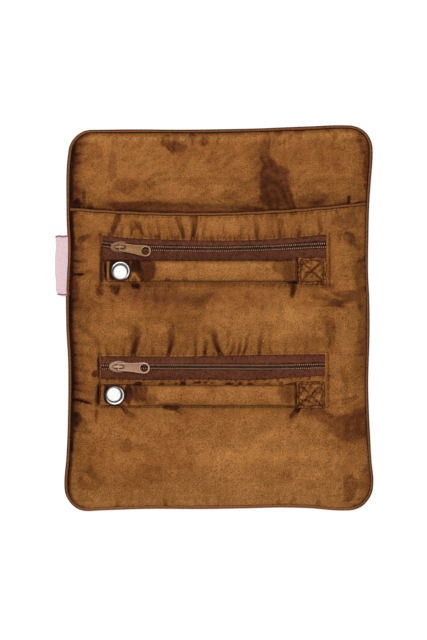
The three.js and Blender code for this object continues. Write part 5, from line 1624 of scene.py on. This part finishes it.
def makeLabel():
    # Flattened loops of ribbon along the label's length, narrower and curled at the foot
    s = labelSizes
    v = np.linspace(0, 1, 90)
    turn = roundTurn(36)
    gridV, gridT = np.meshgrid(v, turn, indexing="ij")
    y = s["low"] + (s["high"] - s["low"]) * gridV
    taper = 1 - 0.28 * smoothStep((0.13 - gridV) / 0.13) + 0.02 * np.sin(gridV * 21)
    middle, half = (s["outer"] + s["inner"]) / 2, (s["inner"] - s["outer"]) / 2
    x = middle + half * 0.05 * np.sin(gridV * 9) + half * signedPower(np.cos(gridT), 0.5) * taper
    raised = 1.2 * smoothStep((0.10 - gridV) / 0.10)
    curl = 0.5 * np.sin(gridV * 7 + 0.6) * smoothStep((s["inner"] - 2 - x) / 6) + raised
    z = s["height"] + s["thickness"] * signedPower(np.sin(gridT), 0.8) * 0.7 + 0.35 * curl
    rings = np.stack([x, y + 0.25 * np.sin(x * 1.1), np.maximum(z, 0.1)], -1)
    points, faces = loftFaces(rings)
    along = (gridV * (s["high"] - s["low"])).ravel()
    edge = np.minimum(along, (s["high"] - s["low"]) - along)
    return makePiece("sideLabel", points, faces, ribbon, fields={"edge": edge})


label = makeLabel()


# Stitches: short rounded rods of thread laid on the cloth
stitching = {"length": 1.7, "gap": 0.7, "radius": 0.2}


def stitchesAlong(line, place, length=None, gap=None):
    # Rods along a polyline of sewn places; place gives each sewn place its point on the cloth
    length, gap = length or stitching["length"], gap or stitching["gap"]
    line = np.asarray(line, float)
    along = np.concatenate([[0], np.cumsum(np.linalg.norm(np.diff(line, axis=0), axis=1))])
    at = np.arange(gap / 2, along[-1] - length, length + gap)
    ends = [np.stack([np.interp(at + more, along, line[:, k]) for k in (0, 1)], -1) for more in (0, length)]
    return [place(e[:, 0], e[:, 1]) for e in ends]


def onFront(x, y):
    # A place on the front cloth, as sewn, a hair above it
    z, _ = frontSurface(x, y)
    wx, wy = wander(x, y + zipBow(x, y))
    return np.stack([wx, wy, z + 0.02], -1)


def onPatch(bar):
    # Places on a bar's end patch, from its middle line, with the line wandering a little
    def place(x, y):
        z = np.full(x.shape, patchSizes["top"] - 0.28)
        return np.stack([x + 0.25 * np.sin(y * 0.7), bar["y"] + y + 0.25 * np.sin(x * 0.6), z], -1)

    return place


def stitchPiece(name, runs, radius=None):
    # All stitches of some seams as one piece of thread
    starts, ends = (np.concatenate([run[i] for run in runs]) for i in (0, 1))
    points, faces = capsules(starts, ends, radius or stitching["radius"])
    return makePiece(name, points, faces, thread)


frameFoot = {"upper": 23.4, "lower": -59.3}
stitchPieces = {}
for name, z0 in zips.items():
    left, right = layout["windowLeft"] + z0["shift"] - 1.1, layout["windowRight"] + z0["shift"] + 2.3
    head, foot = z0["windowHigh"] + 1.1, frameFoot[name]
    runs = [
        stitchesAlong([(left, head), (left, foot)], onFront), stitchesAlong([(left, foot), (right, foot)], onFront),
        stitchesAlong([(right, foot), (right, head)], onFront),
        stitchesAlong([(right, head), (left, head)], onFront, 1.1, 0.8),
    ]
    bar = bars[name]
    s, half = patchSizes, patchSizes["half"] - patchSizes["inset"]
    l, r = bar["patchLeft"] + s["inset"], bar["patchRight"] - s["inset"]
    box = [(l, -half), (r, -half), (r, half), (l, half), (l, -half)]
    lines = (box, [(l, -half), (r, half)], [(l, half), (r, -half)])
    runs += [stitchesAlong(line, onPatch(bar), 1.5, 0.55) for line in lines]
    stitchPieces[name] = stitchPiece(name + "Stitches", runs)
mouthLine = [(x, float(mouthAt(np.array(x))) - 1.6) for x in np.linspace(-95, 95, 60)]


stitchPieces["mouth"] = stitchPiece("mouthStitches", [stitchesAlong(mouthLine, onFront, 1.3, 0.8)], 0.16)
print("scene: label and stitches made")


# Lights, floor and world
studio = {"world": 0.52, "key": 2.7, "keySize": 0.7, "keyHeight": 1.5, "fill": 1.2}


def addArea(name, place, aim, size, power):
    # A square lamp turned towards a point
    data = bpy.data.lights.new(name, "AREA")
    data.shape = "SQUARE"
    data.size = size
    data.energy = power
    lamp = bpy.data.objects.new(name, data)
    bpy.context.scene.collection.objects.link(lamp)
    lamp.location = place
    direction = np.array(aim) - np.array(place)
    lamp.rotation_euler = Vector(direction).to_track_quat("-Z", "Y").to_euler()
    return lamp


addArea("key", (-0.25, 0.45, studio["keyHeight"]), (0, 0, 0), studio["keySize"], studio["key"] * 2)
addArea("fill", (0.6, -0.7, 1.1), (0, 0, 0), 1.2, studio["fill"])
world = bpy.data.worlds.new("studio")
bpy.context.scene.world = world
world.use_nodes = True
tree = world.node_tree
background = tree.nodes["Background"]
background.inputs["Color"].default_value = (1, 1, 1, 1)
background.inputs["Strength"].default_value = studio["world"]
white = addNode(tree, "ShaderNodeBackground", {"Color": (1, 1, 1, 1), "Strength": 1.0})
ray = addNode(tree, "ShaderNodeLightPath")
seen = math2(tree, "MAXIMUM", ray.outputs["Is Camera Ray"], ray.outputs["Is Glossy Ray"])
seen = math2(tree, "MAXIMUM", seen, ray.outputs["Is Transmission Ray"])
mixShader = addNode(tree, "ShaderNodeMixShader", {0: seen, 1: background.outputs[0], 2: white.outputs[0]})
tree.links.new(mixShader.outputs[0], tree.nodes["World Output"].inputs["Surface"])

floorMaterial = bpy.data.materials.new("floorPaper")
floorMaterial.use_nodes = True
tree = floorMaterial.node_tree
shader = tree.nodes["Principled BSDF"]
shader.inputs["Base Color"].default_value = (0.86, 0.86, 0.86, 1)
shader.inputs["Roughness"].default_value = 0.9
shader.inputs["Specular IOR Level"].default_value = 0.0
ray = addNode(tree, "ShaderNodeLightPath")
seen = math2(tree, "MAXIMUM", ray.outputs["Is Camera Ray"], ray.outputs["Is Glossy Ray"])
seen = math2(tree, "MAXIMUM", seen, ray.outputs["Is Transmission Ray"])
glow = math2(tree, "MULTIPLY", seen, 0.55)
shader.inputs["Emission Color"].default_value = (1, 1, 1, 1)
tree.links.new(glow, shader.inputs["Emission Strength"])
floorSize = 3000.0
floorPoints = np.array([[-1, -1, 0], [1, -1, 0], [1, 1, 0], [-1, 1, 0]]) * floorSize
floorPoints[:, 2] = -0.05
floorPiece = makePiece("floor", floorPoints, [np.array([[0, 1, 2, 3]])], floorMaterial, smooth=False)
floorPiece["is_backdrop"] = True
print("scene: studio set")

# What each piece rides on and what it replaces, with its section of the roll and the name of what it is made of, which
# are not read; the first table's pieces ride on no body
for piece, zone, slot, nodes in (
    (front["frontCloth"], "middle", "satin", ("upper_front_panel", "lower_front_panel")),
    (front["frontClothBelow"], "bottom", "satin", ("bottom_flap_front_panel",)),
    (topLining, "top", "satin", ("top_flap_lining",)),
    (liningMiddle, "middle", "satin", ("upper_lining", "lower_lining")),
    (liningBottom, "bottom", "satin", ("bottom_flap_lining",)),
    (edgePipings["topEdgePiping"], "top", "piping_satin", ("top_flap_piping",)),
    (edgePipings["leftEdgePiping"], "middle", "piping_satin", ("upper_piping_left", "lower_piping_left")),
    (edgePipings["rightEdgePiping"], "middle", "piping_satin", ("upper_piping_right", "lower_piping_right")),
    (edgePipings["bottomEdgePiping"], "bottom", "piping_satin", ("bottom_flap_piping",)),
    (covers["Top"], "top", "satin", ("top_flap_cover",)),
    (covers["Middle"], "middle", "satin", ("upper_cover", "lower_cover")),
    (covers["Bottom"], "bottom", "satin", ("bottom_flap_cover",)),
    (pads["Top"], "top", "wadding", ("top_flap_padding",)),
    (pads["Middle"], "middle", "wadding", ("upper_padding", "lower_padding")),
    (pads["Bottom"], "bottom", "wadding", ("bottom_flap_padding",)),
    (bags["upper"], "middle", "bag_satin", ("upper_pocket_bag",)),
):
    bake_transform(piece)
    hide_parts(*nodes)

rides = [
    (mouthPiping, "upper_panel", "piping_satin", ("mouth_piping",)),
    (stitchPieces["mouth"], "upper_panel", "satin", ()),
    (label, "upper_panel", "label_ribbon", ("side_label",)),
    (bags["lower"], "lower_panel", "bag_satin", ("lower_pocket_bag",)),
]
for name in ("upper", "lower"):
    panel, zipMade, bar = name + "_panel", zipPieces[name], barPieces[name]
    rides += [
        (stitchPieces[name], panel, "satin", ()),
        (zipMade["tapeAbove"], panel, "zip_tape", (name + "_zip_tape_above",)),
        (zipMade["tapeBelow"], panel, "zip_tape", (name + "_zip_tape_below",)),
        (zipMade["teethAbove"], panel, "zip_teeth", (name + "_zip_teeth_above",)),
        (zipMade["teethBelow"], panel, "zip_teeth", (name + "_zip_teeth_below",)),
        (zipMade["slider"], name + "_slider", name + "_zip_metal", (name + "_zip_slider",)),
        (zipMade["pull"], name + "_pull", name + "_zip_metal", (name + "_zip_pull",)),
        (bar["patch"], panel, "satin", (name + "_bar_end_patch",)),
        (bar["cap"], name + "_bar", "snap_metal", (name + "_snap_cap",)),
        (bar["filling"], name + "_bar", "wadding", (name + "_bar_filling",)),
    ]
    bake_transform(bar["cover"])
    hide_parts(name + "_bar_cover")
for piece, body, slot, nodes in rides:
    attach(piece, body)
    if nodes:
        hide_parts(*nodes)
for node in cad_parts:
    if "snap_stud" in node or "snap_post" in node or "snap_socket" in node:
        carried = bpy.data.objects[node]
        carried.data.materials.clear()
        carried.data.materials.append(snapChrome)

low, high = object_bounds()
